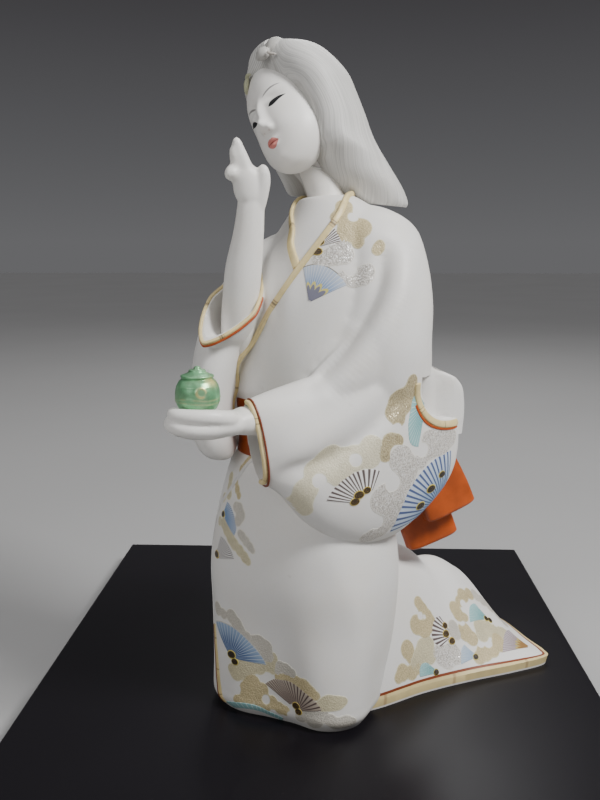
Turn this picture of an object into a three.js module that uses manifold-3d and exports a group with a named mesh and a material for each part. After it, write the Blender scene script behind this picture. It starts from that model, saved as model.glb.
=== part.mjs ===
// A painted clay doll: a woman in a kimono kneels upright on a black lacquered board. Her right hand is
// raised beside her chin and her left palm carries a small green incense burner.
// Millimetres, +Z up, the viewer's side is -Y. The origin is the middle of the board's underside.
import * as THREE from 'three';
import { mergeVertices } from 'three/addons/utils/BufferGeometryUtils.js';
import Module from 'manifold-3d';

const wasm = await Module();
wasm.setup();

// Driving dimensions
const figureHeight = 300;
const boardWidth = 273;
const boardDepth = 303;
const boardThickness = 15;
const boardBevel = 1.5;
const figurePlace = { x: -7.5, y: -50 };
const burnerDiameter = 17.4;
const burnerHeight = 17.6;
const burnerClearance = 0.35;
const bandThickness = 1.3;

// Every form of the figure is drawn for a doll of this height, and follows figureHeight as a share of it.
const drawnHeight = 300;
const k = figureHeight / drawnHeight;

// Small mathematics
const vector = ([x, y, z]) => new THREE.Vector3(x, y, z);
const radians = THREE.MathUtils.degToRad;
const bell = (distance, width) => Math.exp(-((distance / width) ** 2));
const step = (from, to, x) => THREE.MathUtils.smoothstep(x, from, to);
const wrap = (angle) => Math.atan2(Math.sin(angle), Math.cos(angle));

// Value of a smooth curve through evenly spaced rows of numbers, at t from 0 to 1, for one column.
function through(rows, column, t, missing = 0) {
  const last = rows.length - 1;
  const x = Math.min(Math.max(t, 0), 1) * last;
  const i = Math.min(Math.floor(x), last - 1);
  const f = x - i;
  const row = (n) => rows[Math.min(Math.max(n, 0), last)][column] ?? missing;
  const [p0, p1, p2, p3] = [row(i - 1), row(i), row(i + 1), row(i + 2)];
  const slope1 = (p2 - p0) / 2;
  const slope2 = (p3 - p1) / 2;
  const f2 = f * f;
  const f3 = f2 * f;
  return (
    (2 * f3 - 3 * f2 + 1) * p1 + (f3 - 2 * f2 + f) * slope1 + (3 * f2 - 2 * f3) * p2 + (f3 - f2) * slope2
  );
}

// One section of a loft: its centre, its two directions and its half sizes.
// A key row holds x, y, z, half width, half depth, turn, squareness and lean, in that order.
function section(keys, t, { axis, toward }) {
  const at = (s) => vector([0, 1, 2].map((c) => through(keys, c, s)));
  const centre = at(t);
  const along = axis ? vector(axis) : at(Math.min(t + 0.01, 1)).sub(at(Math.max(t - 0.01, 0)));
  along.normalize();
  const front0 = vector(toward);
  front0.addScaledVector(along, -front0.dot(along)).normalize();
  const side0 = along.clone().cross(front0);
  const turn = radians(through(keys, 5, t));
  const lean = radians(through(keys, 7, t));
  const front = front0.clone().multiplyScalar(Math.cos(turn)).addScaledVector(side0, -Math.sin(turn));
  const side = side0.multiplyScalar(Math.cos(turn)).addScaledVector(front0, Math.sin(turn));
  side.multiplyScalar(Math.cos(lean)).addScaledVector(along, Math.sin(lean));
  return {
    centre,
    front,
    side,
    halfWidth: through(keys, 3, t),
    halfDepth: through(keys, 4, t),
    square: through(keys, 6, t, 2),
  };
}

// A point of a section at an angle: 0 is its front and a quarter turn is its left side.
function sectionPoint(s, angle, share = 1, raise = 0) {
  const power = 2 / s.square;
  const x = Math.sign(Math.sin(angle)) * Math.abs(Math.sin(angle)) ** power;
  const y = Math.sign(Math.cos(angle)) * Math.abs(Math.cos(angle)) ** power;
  const out = s.side.clone().multiplyScalar(s.halfWidth * x).addScaledVector(s.front, s.halfDepth * y);
  const reach = out.length() || 1;
  return s.centre.clone().addScaledVector(out, share * (1 + raise / reach));
}

// A closed solid whose sections follow the keys: a sphere whose rows are moved to the sections.
// ends says how much of each end is rounded off, and frontDetail gathers the columns at the front.
function loft({
  keys,
  toward = [0, -1, 0],
  axis,
  sides = 20,
  rings = 12,
  ends = [0, 0],
  frontDetail = 0,
  relief,
  place,
}) {
  const geometry = new THREE.SphereGeometry(1, sides, rings);
  const position = geometry.getAttribute('position');
  const first = ends[0] ? 0 : 1;
  const last = ends[1] ? rings : rings - 1;
  for (let row = 0; row <= rings; row++) {
    const even = Math.min(Math.max((row - first) / (last - first), 0), 1);
    const eased = (1 - Math.cos(Math.PI * even)) / 2;
    const t = ends[0] && ends[1] ? eased : ends[0] ? 1 - Math.cos((Math.PI * even) / 2) : even;
    const s = section(keys, t, { axis, toward });
    let share = 1;
    if (ends[0] && t < ends[0]) share = Math.sqrt(1 - (1 - t / ends[0]) ** 2);
    if (ends[1] && t > 1 - ends[1]) share = Math.sqrt(Math.max(0, 1 - (1 - (1 - t) / ends[1]) ** 2));
    if (row === 0 || row === rings) share = 0;
    for (let column = 0; column <= sides; column++) {
      const x = (2 * Math.PI * (column % sides)) / sides;
      const angle = x - frontDetail * Math.sin(x);
      const raise = relief && share ? relief(t, wrap(angle), sectionPoint(s, angle)) : 0;
      const point = sectionPoint(s, angle, share, raise);
      if (place) point.applyMatrix4(place);
      position.setXYZ(row * (sides + 1) + column, point.x * k, point.y * k, point.z * k);
    }
  }
  return solid(geometry);
}

// A geometry as a solid for joining and cutting, with its faces turned outwards.
function solid(geometry) {
  for (const name of ['normal', 'uv']) geometry.deleteAttribute(name);
  const merged = mergeVertices(geometry, 1e-4);
  const build = (triVerts) =>
    new wasm.Manifold(
      new wasm.Mesh({ numProp: 3, vertProperties: merged.getAttribute('position').array, triVerts }),
    );
  const faces = new Uint32Array(merged.index.array);
  const made = build(faces);
  return made.volume() > 0 ? made : build(faces.reverse());
}

// A solid back as a geometry for a mesh.
function geometryOf(made) {
  const { vertProperties, triVerts } = made.getMesh();
  const geometry = new THREE.BufferGeometry();
  geometry.setAttribute('position', new THREE.BufferAttribute(vertProperties, 3));
  geometry.setIndex(new THREE.BufferAttribute(triVerts, 1));
  geometry.computeVertexNormals();
  return geometry;
}

const joined = (solids) => solids.reduce((whole, next) => whole.add(next));

// A limb or finger: a round tube with rounded ends through rows of x, y, z and radius.
function limb(rows, options = {}) {
  const keys = rows.map(([x, y, z, width, depth = width]) => [x, y, z, width, depth]);
  return loft({ keys, sides: 7, rings: 6, ends: [0.12, 0.2], toward: [0.2, -1, 0.1], ...options });
}

// Kimono body: knees and thighs, hips, waist, chest and shoulders
const bodyKeys = [
  [1, -3, 0, 35, 27, 24, 3.0, 0],
  [1, -3, 4, 38, 30, 24, 3.0, 0],
  [1.5, -2, 22, 39.5, 31.5, 25, 2.9, 0],
  [2, 0, 44, 42.5, 33.5, 27, 2.7, 0],
  [2, 0.5, 66, 44, 35, 30, 2.5, 0],
  [2, 0.5, 88, 41.5, 34, 34, 2.4, 0],
  [1, 0, 108, 36, 30, 36, 2.3, 0],
  [0.5, 0, 122, 31.5, 26.5, 36, 2.2, 0],
  [1, 0, 136, 31, 25.5, 35, 2.2, 0],
  [2, 0, 152, 34, 27, 34, 2.2, 0],
  [3, 0, 170, 36, 27.5, 33, 2.2, 2],
  [5, 0, 188, 36, 26, 32, 2.2, 5],
  [8, 0.5, 204, 32, 23.5, 32, 2.2, 8],
  [11.5, 1, 217, 26, 20, 32, 2.2, 10],
  [12.5, 2, 226, 20, 15.5, 32, 2.1, 8],
  [11.5, 2.5, 233, 12, 11, 32, 2, 4],
];
const bodyFrame = { axis: [0, 0, 1], toward: [0, -1, 0] };
const bodyHeights = { from: bodyKeys[0][2], to: bodyKeys.at(-1)[2] };

// How far along the body's keys a height lies, found by halving.
function bodyShare(z) {
  let low = 0;
  let high = 1;
  for (let i = 0; i < 24; i++) {
    const middle = (low + high) / 2;
    if (through(bodyKeys, 2, middle) < z) low = middle;
    else high = middle;
  }
  return (low + high) / 2;
}

// The overlap of the upper robe closes over the sash, and the sash pulls the waist in.
const sash = { from: 119, to: 146, depth: 1.8 };
function bodyRelief(t, angle, point) {
  const inSash = step(sash.from - 3, sash.from + 1, point.z) * (1 - step(sash.to - 1, sash.to + 4, point.z));
  const kneeParting = -2.2 * bell(angle - radians(4), 0.2) * (1 - step(20, 70, point.z));
  const overlap = 2.4 * bell(angle + 0.8, 0.42) * bell(point.z - 148, 13);
  const thighFold = 1.6 * bell(angle - radians(62) + (point.z - 40) * 0.006, 0.22) * (1 - step(60, 105, point.z));
  return -sash.depth * inSash + overlap + kneeParting + thighFold;
}

function makeBody() {
  return loft({ keys: bodyKeys, ...bodyFrame, sides: 30, rings: 21, relief: bodyRelief });
}

// A point on the body's surface at a height and an angle from its front, raised off it.
function onBody(z, degrees, raise) {
  const t = bodyShare(z);
  const angle = radians(degrees);
  const s = section(bodyKeys, t, bodyFrame);
  const flat = sectionPoint(s, angle);
  return sectionPoint(s, angle, 1, bodyRelief(t, wrap(angle), flat) + raise);
}

// A flat band laid on the body through rows of height and angle.
function bodyBand(rows, width, thickness = bandThickness) {
  const point = (t) => onBody(through(rows, 0, t), through(rows, 1, t), thickness * 0.4);
  const count = 14;
  const keys = Array.from({ length: count }, (_, i) => {
    const p = point(i / (count - 1));
    return [p.x, p.y, p.z, width / 2, thickness, 0, 2.6];
  });
  const middle = onBody(rows[Math.floor(rows.length / 2)][0], rows[Math.floor(rows.length / 2)][1], 0);
  const outward = middle.clone().sub(section(bodyKeys, bodyShare(middle.z), bodyFrame).centre);
  return loft({ keys, toward: outward.toArray(), sides: 6, rings: count, ends: [0.02, 0.02] });
}

// Collars: the left one closes over the right one
function makeCollars() {
  const left = bodyBand(
    [[234, 160], [234, 110], [230, 58], [219, 32], [205, 13], [190, 0], [172, -12], [156, -25], [142, -38]],
    4.6,
  );
  const right = bodyBand([[234, -160], [234, -110], [231, -58], [222, -18], [213, -5], [202, 9]], 4.4);
  return [left, right];
}

// The skirt spreads behind the knees over the lower legs and feet
const train = {
  centre: [52, 36],
  outline: [
    [125, 43], [120, 53], [111, 74], [98, 92], [76, 104], [46, 100], [14, 80], [-12, 54],
    [-26, 26], [-22, 0], [-2, -12], [20, -22], [36, -17], [60, -0.6], [84, 12.6], [108, 23.8], [125, 36],
  ],
  hem: 4.6,
  calf: { x: 20, y: -2, height: 83 },
  heel: { x: 79, y: 64, height: 44 },
  spread: 31,
};
function trainHeight(x, y, edge) {
  const { calf, heel, spread, hem } = train;
  const dx = heel.x - calf.x;
  const dy = heel.y - calf.y;
  const length = Math.hypot(dx, dy);
  const s = ((x - calf.x) * dx + (y - calf.y) * dy) / length;
  const aside = ((x - calf.x) * dy - (y - calf.y) * dx) / length;
  const beyond = Math.max(0, s - length);
  const top = THREE.MathUtils.lerp(calf.height, heel.height, Math.min(Math.max(s / length, -0.2), 1));
  const ridge = (top - hem) * bell(aside, spread) * bell(beyond, 26);
  const fold = -3 * bell(s - 60, 9) * bell(aside - 8, 22);
  return hem + (ridge + fold) * (1 - edge ** 4);
}
function makeTrain() {
  const rows = [...train.outline, train.outline[0]];
  const sides = 34;
  const rings = 10;
  const geometry = new THREE.SphereGeometry(1, sides, rings);
  const position = geometry.getAttribute('position');
  const bottomRow = rings - 1;
  for (let row = 0; row <= rings; row++) {
    const edge = Math.min(row / (bottomRow - 1), 1) ** 0.9;
    for (let column = 0; column <= sides; column++) {
      const around = (column % sides) / sides;
      const reach = row === 0 || row === rings ? 0 : edge * (row === bottomRow ? 0.985 : 1);
      const x = THREE.MathUtils.lerp(train.centre[0], closed(rows, 0, around), reach);
      const y = THREE.MathUtils.lerp(train.centre[1], closed(rows, 1, around), reach);
      const z = row >= bottomRow ? 0 : trainHeight(x, y, edge);
      position.setXYZ(row * (sides + 1) + column, x * k, y * k, z * k);
    }
  }
  return solid(geometry);
}

// A smooth closed curve through rows whose last repeats the first.
function closed(rows, column, t) {
  const count = rows.length - 1;
  const padded = [rows[count - 1], ...rows, rows[1]];
  return through(padded, column, (t * count + 1) / (count + 2));
}

// Left sleeve: the forearm crosses in front and the cloth hangs below it as a wide pouch
const sleeveAlong = [0.866, 0.5, 0];
const sleeveOut = [0.5, -0.866, 0];
const sleeveWrist = [-14, -50];
// Each row: distance from the wrist, top, bottom, half thickness, shift towards the viewer and lean.
const pouchRows = [
  [0, 152.5, 117, 7.5, 0, 17],
  [7, 155, 110.5, 10.5, 0.5, 14],
  [18, 158, 97.5, 12.5, 1, 7],
  [32, 162, 89.5, 13.5, 1.5, 2],
  [47, 168, 85.4, 14.5, 1.5, 0],
  [63, 172, 86.6, 15, 0.5, 0],
  [78, 164, 95, 15, -1, 0],
  [90, 150, 106, 13, -2, 0],
  [97, 140, 118, 9, -3, 0],
];
const pouchPlace = (along, out, z) => [
  sleeveWrist[0] + sleeveAlong[0] * along + sleeveOut[0] * out,
  sleeveWrist[1] + sleeveAlong[1] * along + sleeveOut[1] * out,
  z,
];
function pouchRelief(t, angle, point) {
  const along = (point.x - sleeveWrist[0]) * sleeveAlong[0] + (point.y - sleeveWrist[1]) * sleeveAlong[1];
  const valley = 119 + along * 0.17;
  const facing = step(-0.2, 0.5, Math.cos(angle));
  return -3.6 * bell(point.z - valley, 6.5) * facing * step(-2, 14, along) * (1 - step(70, 95, along));
}
function makeLeftSleeve() {
  const keys = pouchRows.map(([along, top, bottom, thick, out, lean]) => [
    ...pouchPlace(along, out, (top + bottom) / 2),
    (top - bottom) / 2,
    thick,
    0,
    2.3,
    lean,
  ]);
  const pouch = loft({
    keys,
    axis: sleeveAlong,
    toward: sleeveOut,
    sides: 24,
    rings: 14,
    ends: [0, 0.14],
    relief: pouchRelief,
  });
  const mouth = loft({
    keys: [
      [...pouchPlace(-6, 0, 135.5), 17.4, 6.6, 0, 2.3, 17],
      [...pouchPlace(0, 0, 134.8), 16.6, 6.0, 0, 2.3, 17],
      [...pouchPlace(8, 0.5, 135), 13, 5.2, 0, 2.3, 12],
    ],
    axis: sleeveAlong,
    toward: sleeveOut,
    sides: 20,
    rings: 5,
  });
  const upperArm = loft({
    keys: [
      [24, -1, 226, 12, 11],
      [32, -5, 219, 17.5, 14.5],
      [36, -9, 204, 20, 16.5],
      [37.5, -13, 188, 20, 17],
      [36.5, -16, 172, 19, 17],
      [37, -19, 156, 17.5, 16],
      [41, -20, 142, 14, 12],
    ],
    toward: sleeveOut,
    sides: 18,
    rings: 12,
    ends: [0.2, 0.2],
  });
  return { cloth: [pouch, upperArm], mouth };
}

// The white under-sleeve shows in the open back edge of the left sleeve
function makeUnderSleeve() {
  return loft({
    keys: [
      [60, 0, 120, 9, 8, 0, 3.5],
      [62.5, 1, 131, 10.4, 8.6, 0, 3.6],
      [64, 1.5, 142, 10.4, 8.8, 0, 3.8],
      [63.4, 1, 150, 9.8, 8.4, 0, 3.6],
      [60, 0, 156, 6.8, 7, 0, 3.2],
      [57.5, -1, 160, 3.6, 5, 0, 2.8],
    ],
    toward: [0.35, -0.94, 0],
    axis: [0, 0, 1],
    sides: 14,
    rings: 7,
  });
}

// Right sleeve: it has slipped to the elbow of the raised arm and hangs beside the body
function makeRightSleeve() {
  const cloth = loft({
    keys: [
      [-32, -6, 117.5, 6, 14, 0, 2.2],
      [-34, -6, 123, 10.5, 20, 0, 2.3],
      [-35.5, -6, 134, 13, 23, 0, 2.3],
      [-34, -6, 150, 13.5, 24, 0, 2.3],
      [-32, -5, 166, 14, 23, 0, 2.3],
      [-28, -2, 181, 14, 20, 0, 2.2],
      [-22, 3, 195, 13, 17, 0, 2.1],
      [-14, 7, 208, 11, 13, 0, 2],
      [-6, 8, 218, 8, 9, 0, 2],
    ],
    axis: [0, 0, 1],
    sides: 18,
    rings: 12,
    ends: [0.1, 0.1],
  });
  const cuff = loft({ keys: cuffKeys(0, 0), axis: cuffAxis, toward: cuffLow, sides: 20, rings: 6 });
  const mouth = loft({ keys: cuffKeys(1.5, 3), axis: cuffAxis, toward: cuffLow, sides: 18, rings: 5 });
  return { cloth: [cloth, cuff], mouth };
}
const cuffAxis = [-0.12, -0.7, 0.7];
const cuffLow = [-0.42, -0.36, -0.82];
const cuffKeys = (wall, beyond) => [
  [-28, -8, 174, 10 - wall, 12 - wall, 0, 1.9],
  [-28, -15, 181, 10.6 - wall, 17.5 - wall, 0, 1.8],
  [-28, -21 - 0.7 * beyond, 187.5 + 0.7 * beyond, 11.2 - wall, 22.4 - wall, 0, 1.7],
];

// Raised right arm and hand: two fingers point up, two are curled and the thumb stands apart
function makeRightArm() {
  return [
    limb(
      [
        [-29, -4, 160, 8.6],
        [-27.4, -14, 176, 8.6],
        [-26, -18.4, 190, 8.4],
        [-23.5, -21, 203, 8.0],
        [-20, -23.5, 217, 6.9],
        [-18.4, -25, 229, 6.2, 5.6],
        [-18, -26, 236, 6.6, 5.0],
      ],
      { sides: 10, rings: 8 },
    ),
    limb(
      [
        [-18, -25.5, 231, 5.8, 5],
        [-18.8, -26.5, 236, 7.8, 4.6],
        [-19.8, -27.4, 241, 8.2, 4.2],
        [-20.8, -28.2, 245, 6.4, 3.4],
      ],
      { sides: 10, rings: 6, ends: [0.2, 0.3] },
    ),
    limb([[-17.8, -28.2, 240.5, 3.3], [-20, -29.2, 246, 2.9], [-22.2, -30, 250.6, 2.3], [-23.8, -30.6, 254.6, 1.6]]),
    limb([[-21, -27.4, 240, 3.1], [-22.9, -28.8, 245, 2.8], [-24.2, -29.8, 248.8, 2.3], [-24.9, -30.4, 251.8, 1.6]]),
    limb([[-22.6, -27, 238, 3], [-26.2, -28.5, 242, 2.7], [-27.2, -30.5, 242.6, 2.4], [-26.4, -32.4, 240.6, 1.9]]),
    limb([[-22.2, -26.5, 235.4, 2.9], [-25.9, -28.2, 237.7, 2.7], [-26.9, -30, 237.8, 2.4], [-26.1, -31.8, 236, 1.9]]),
    limb([[-15.6, -26, 231, 3.4], [-13.9, -27.4, 236.5, 3.1], [-13.5, -28.4, 241, 2.6], [-14.1, -29.2, 244.6, 1.7]]),
  ];
}

// Left forearm and open hand under the incense burner
const palm = { x: -37.2, y: -60, top: 149.4 };
function makeLeftArm() {
  const fingerBase = [-33, -60];
  const fingers = [-6.2, -2.1, 2, 5.8].map((aside, i) => {
    const reach = [11.5, 13.4, 13, 10.6][i];
    const [x, y] = [fingerBase[0], fingerBase[1] - aside];
    return limb([
      [x + 2, y + 1, 143.4, 2.6],
      [x - reach * 0.45, y - 1.4, 143.6, 2.5],
      [x - reach * 0.8, y - 2.4, 145.4, 2.2],
      [x - reach, y - 3, 149.2, 1.6],
    ]);
  });
  return [
    limb(
      [[2, -42, 142, 6.6], [-8, -47, 143, 6.2, 6.4], [-17, -52, 144.2, 6.0, 5.6], [-24, -55.5, 144.8, 6.4, 4.6]],
      { sides: 10, rings: 6, toward: [0, 0, 1] },
    ),
    limb(
      [[-20, -54, 144.6, 6, 4.4], [-27, -57.5, 144.6, 7.6, 3.9], [-33, -60, 144, 8.6, 3.7], [-38, -62, 143.6, 8, 3]],
      { sides: 10, rings: 7, toward: [0, 0, 1], ends: [0.2, 0.25] },
    ),
    ...fingers,
    limb([[-24, -62, 145, 2.9], [-28, -66.5, 146.6, 2.7], [-31.5, -68.2, 148.4, 2.2], [-34.6, -68, 150.4, 1.6]]),
  ];
}

// Head, in its own frame: the face looks along -Y, her left is +X and the crown is +Z
const headPose = new THREE.Matrix4()
  .makeTranslation(-5, 2, 265.9)
  .multiply(new THREE.Matrix4().makeRotationZ(radians(-35.5)))
  .multiply(new THREE.Matrix4().makeRotationX(radians(-2)))
  .multiply(new THREE.Matrix4().makeRotationY(radians(-27)));
const headKeys = [
  [0, 1, 25.5, 1, 1],
  [0, 1, 22.5, 9, 10],
  [0, 1, 16.5, 13.6, 14.4],
  [0, 0.6, 9.5, 16, 16.4],
  [0, 0.2, 2.5, 16.6, 17],
  [0, -0.2, -4, 16.7, 16.8],
  [0, -0.8, -10, 16.2, 15.8],
  [0, -1.8, -15.5, 14.2, 13.8],
  [0, -3.2, -20, 10.8, 10.8],
  [0, -4.6, -23.4, 6.4, 7],
  [0, -5, -24.8, 2, 2.4],
];
function faceRelief(t, angle, p) {
  const front = step(0.2, 0.75, Math.cos(angle));
  const [x, z] = [p.x, p.z];
  const side = Math.abs(x);
  const bridge = 1.3 * bell(x, 1.9) * step(-7, -3, z) * (1 - step(2, 8, z));
  const tip = 2.7 * bell(x, 1.9) * bell(z + 5.6, 2.4);
  const wings = 0.9 * bell(side - 2.0, 1.1) * bell(z + 6.6, 1.3);
  const sockets = -1.1 * bell(side - 6.2, 3.6) * bell(z - 3.4, 2.4);
  const lids = 0.7 * bell(side - 6.6, 2.8) * bell(z - 1.4, 1.5);
  const lips = 1.0 * bell(x, 2.8) * (bell(z + 12.6, 0.9) + bell(z + 14.6, 0.9));
  const chin = 0.8 * bell(x, 3.4) * bell(z + 20, 2.4);
  return front * (bridge + tip + wings + sockets + lids + lips + chin);
}
function makeHead() {
  const head = loft({
    keys: headKeys,
    axis: [0, 0, -1],
    toward: [0, -1, 0],
    sides: 26,
    rings: 24,
    ends: [0.04, 0.04],
    frontDetail: 0.5,
    relief: faceRelief,
    place: headPose,
  });
  const neck = limb(
    [[12, 3, 222, 12], [11.4, 2.4, 232, 8.4], [9, 2.4, 240, 7.6], [4, 3, 252, 7.6]],
    { sides: 14, rings: 7, ends: [0.05, 0.2] },
  );
  return [head, neck];
}

// Hair: combed back from the hairline, tied in a small knot on the crown and cut straight at the shoulders
const hairKeys = [
  [-4, 4, 298.5, 2, 2, 30, 2],
  [-4, 4.2, 296.5, 11, 12, 30, 2],
  [-3.4, 4.4, 292, 17, 18.5, 32, 2],
  [-0.8, 5, 285, 20.8, 23, 34, 2],
  [0.6, 6, 277.5, 22.8, 26, 34, 2],
  [3, 7.4, 269, 23.8, 27, 33, 2.1],
  [6.6, 9, 259, 24.4, 26, 31, 2.2],
  [13, 11, 247.5, 26, 20, 26, 2.3],
  [18, 13, 238, 27.6, 15, 20, 2.4],
  [20.4, 14, 230.4, 28.4, 12, 18, 2.5],
  [21, 14.4, 228, 27.4, 10.6, 18, 2.5],
];
function hairRelief(t, angle) {
  return -9 * step(0.5, 0.8, t) * bell(angle, 0.75);
}

// The hair opens around the face and rolls back from the hairline, like the inside of a bell
const hairline = { top: 20, bottom: -60, halfWidth: 15.9, depth: 5, lean: 0.24 };
function faceWindow() {
  const { top, bottom, halfWidth, depth, lean } = hairline;
  const z = (top + bottom) / 2;
  const halfHeight = (top - bottom) / 2;
  const keys = [-3, 0, 3, 6, 9, 12, 24].map((ahead) => {
    const grown = 0.16 * ahead + 0.13 * Math.max(0, ahead) ** 2;
    return [0, -(depth + lean * z) - ahead, z, halfWidth + grown, halfHeight + grown, 0, 2.6];
  });
  return loft({ keys, axis: [0, -1, -lean], toward: [0, 0, 1], sides: 26, rings: 8, place: headPose });
}
function makeHair() {
  const hair = loft({
    keys: hairKeys,
    sides: 26,
    rings: 15,
    ends: [0.08, 0],
    axis: [0, 0, 1],
    relief: hairRelief,
  });
  const knot = [
    limb([[-13.5, -4, 293.6, 3], [-10.6, -1, 296.4, 3.8], [-7.6, 1.6, 297, 3.2]], { rings: 6 }),
    limb([[-17, -6, 291, 2], [-15, -5, 293, 2.4], [-12.6, -3, 294, 2]], { rings: 5 }),
  ];
  return [hair.subtract(faceWindow()), ...knot];
}

// Sash tied behind: a knot with two folded ends
function makeSashBow() {
  const slab = (rows, toward) => loft({ keys: rows, toward, sides: 12, rings: 7, ends: [0.06, 0.06] });
  return [
    slab(
      [
        [32, 24, 126, 12, 7, 0, 4],
        [46, 15, 124, 12, 5, 0, 4],
        [58, 9, 114, 12.5, 4.2, 0, 4.4],
        [66, 8, 100, 12.8, 4, 0, 4.6],
        [71, 8, 88, 12.8, 4, 0, 5],
      ],
      [0.36, -0.93, 0],
    ),
    slab(
      [
        [32, 26, 116, 12, 7, 0, 4],
        [46, 21, 104, 12.5, 5, 0, 4],
        [57, 18, 88, 13, 4.5, 0, 4.4],
        [64, 17, 70, 13, 4.5, 0, 5],
      ],
      [0.3, -0.95, 0],
    ),
    slab(
      [
        [34, 26, 128, 12, 7, 0, 4],
        [16, 44, 122, 13, 5, 0, 4],
        [10, 54, 106, 14, 4.2, 0, 4.4],
        [8, 60, 88, 14, 4, 0, 5],
      ],
      [-0.9, -0.3, 0],
    ),
    slab([[14, 12, 132, 14, 12, 0, 3], [26, 22, 130, 14, 12, 0, 3.4], [34, 30, 127, 12, 10, 0, 3.4]], [0, 0, 1]),
  ];
}

// Incense burner: a round bowl with a flanged lid and a button, turned as one piece
function burnerProfile(grow) {
  const radius = burnerDiameter / 2;
  const bowl = new THREE.SplineCurve(
    [[0.7, 0], [0.9, 0.12], [1, 0.36], [0.93, 0.56], [0.7, 0.73]].map(
      ([r, h]) => new THREE.Vector2(radius * r, burnerHeight * h),
    ),
  );
  const lid = [[0.74, 0.76], [0.7, 0.8], [0.42, 0.86], [0.38, 0.91], [0.17, 0.92], [0.15, 0.98]];
  const outline = [...bowl.getPoints(6), ...lid.map(([r, h]) => new THREE.Vector2(radius * r, burnerHeight * h))];
  const above = bowl.points.length + 3;
  return [
    new THREE.Vector2(0, -grow),
    ...outline.map((p, i) => new THREE.Vector2(p.x + grow, i === 0 ? -grow : p.y + (i > above ? grow : 0))),
    new THREE.Vector2(0, burnerHeight + grow),
  ];
}
function makeBurner(grow = 0) {
  const geometry = new THREE.LatheGeometry(burnerProfile(grow), 18);
  geometry.rotateX(Math.PI / 2);
  geometry.translate(palm.x * k, palm.y * k, palm.top * k);
  return solid(geometry);
}

// Board with bevelled upper edges
function makeBoard() {
  const shape = new THREE.Shape();
  const [w, d] = [boardWidth / 2 - boardBevel, boardDepth / 2 - boardBevel];
  shape.moveTo(-w, -d).lineTo(w, -d).lineTo(w, d).lineTo(-w, d).closePath();
  return new THREE.ExtrudeGeometry(shape, {
    depth: boardThickness - 2 * boardBevel,
    bevelEnabled: true,
    bevelThickness: boardBevel,
    bevelSize: boardBevel,
    bevelSegments: 2,
  }).translate(0, 0, boardBevel);
}

const leftSleeve = makeLeftSleeve();
const rightSleeve = makeRightSleeve();
const cloth = joined([makeBody(), ...leftSleeve.cloth, ...rightSleeve.cloth])
  .subtract(leftSleeve.mouth)
  .subtract(rightSleeve.mouth);
const figure = joined([
  cloth,
  makeTrain(),
  ...makeCollars(),
  makeUnderSleeve(),
  ...makeRightArm(),
  ...makeLeftArm(),
  ...makeHead(),
  ...makeHair(),
  ...makeSashBow(),
]).subtract(makeBurner(burnerClearance));

function mesh(name, geometry, color, roughness, metalness = 0) {
  const made = new THREE.Mesh(geometry, new THREE.MeshStandardMaterial({ color, roughness, metalness }));
  made.name = name;
  return made;
}

const doll = new THREE.Group();
doll.position.set(figurePlace.x, figurePlace.y, boardThickness);
doll.add(mesh('figure', geometryOf(figure), 0xeae6e0, 0.6));
doll.add(mesh('incense_burner', geometryOf(makeBurner()), 0x5f9a62, 0.35, 0.4));

const whole = new THREE.Group();
whole.add(mesh('display_board', makeBoard(), 0x0b0a0d, 0.35));
whole.add(doll);

export default whole;
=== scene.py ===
# Hakata doll: a kneeling woman of painted clay with an incense burner on her palm, on a lacquered board.

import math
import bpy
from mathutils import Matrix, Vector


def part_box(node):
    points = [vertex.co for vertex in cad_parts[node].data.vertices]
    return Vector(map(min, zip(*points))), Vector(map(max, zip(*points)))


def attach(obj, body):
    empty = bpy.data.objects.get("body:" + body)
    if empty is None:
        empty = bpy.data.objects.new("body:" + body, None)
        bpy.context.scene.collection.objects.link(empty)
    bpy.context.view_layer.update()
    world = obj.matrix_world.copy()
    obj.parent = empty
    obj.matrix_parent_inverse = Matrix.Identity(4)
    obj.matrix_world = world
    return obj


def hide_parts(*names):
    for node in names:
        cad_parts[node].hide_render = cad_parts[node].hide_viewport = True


bl_info = {
    "name": "Hakata Doll",
    "version": (1, 0, 0),
    "blender": (4, 5, 0),
    "location": "3D View > Sidebar > Doll",
    "description": "Builds a painted clay doll in a patterned kimono over its fixed frame",
    "category": "Object",
}

import bmesh
import bpy
from bpy.props import FloatProperty, FloatVectorProperty, IntProperty, PointerProperty
from mathutils import Matrix, Vector
from mathutils.bvhtree import BVHTree

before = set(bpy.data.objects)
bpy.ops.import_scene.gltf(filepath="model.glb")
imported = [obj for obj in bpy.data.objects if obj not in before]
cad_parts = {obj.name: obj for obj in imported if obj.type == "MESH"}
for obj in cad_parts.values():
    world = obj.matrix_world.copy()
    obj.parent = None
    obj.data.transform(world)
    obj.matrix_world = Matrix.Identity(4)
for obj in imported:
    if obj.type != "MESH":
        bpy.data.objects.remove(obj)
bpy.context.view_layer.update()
FIGURE_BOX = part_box("figure")
BOARD_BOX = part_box("display_board")

# The forms are drawn in millimetres for a figure of this height, with its origin on the board's top.
DRAWN_HEIGHT = 300.2
FIGURE_PLACE = Vector((-7.5, -50.0, 0.0))
SCALE = (FIGURE_BOX[1].z - FIGURE_BOX[0].z) * 1000 / DRAWN_HEIGHT
ORIGIN = FIGURE_PLACE / 1000 + Vector((0, 0, BOARD_BOX[1].z))

TURN = 2 * math.pi
# Power that rounds the edges of a band
BAND_POWER = 2 / 3
COLLAR_THICKNESS = 1.9
# Steps in which courses and outlines are followed
BODY_ROWS = 25
COLLAR_SPOTS = 60
ARC_STEPS = 24
HAIR_LOOKS = 120
# Width and height of the face's own view, in millimetres
FACE_VIEW = 100
NECK_RADIUS = 8.2
# Share of the hair's columns that lie on its outer side
HAIR_OWN = 0.85
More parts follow.
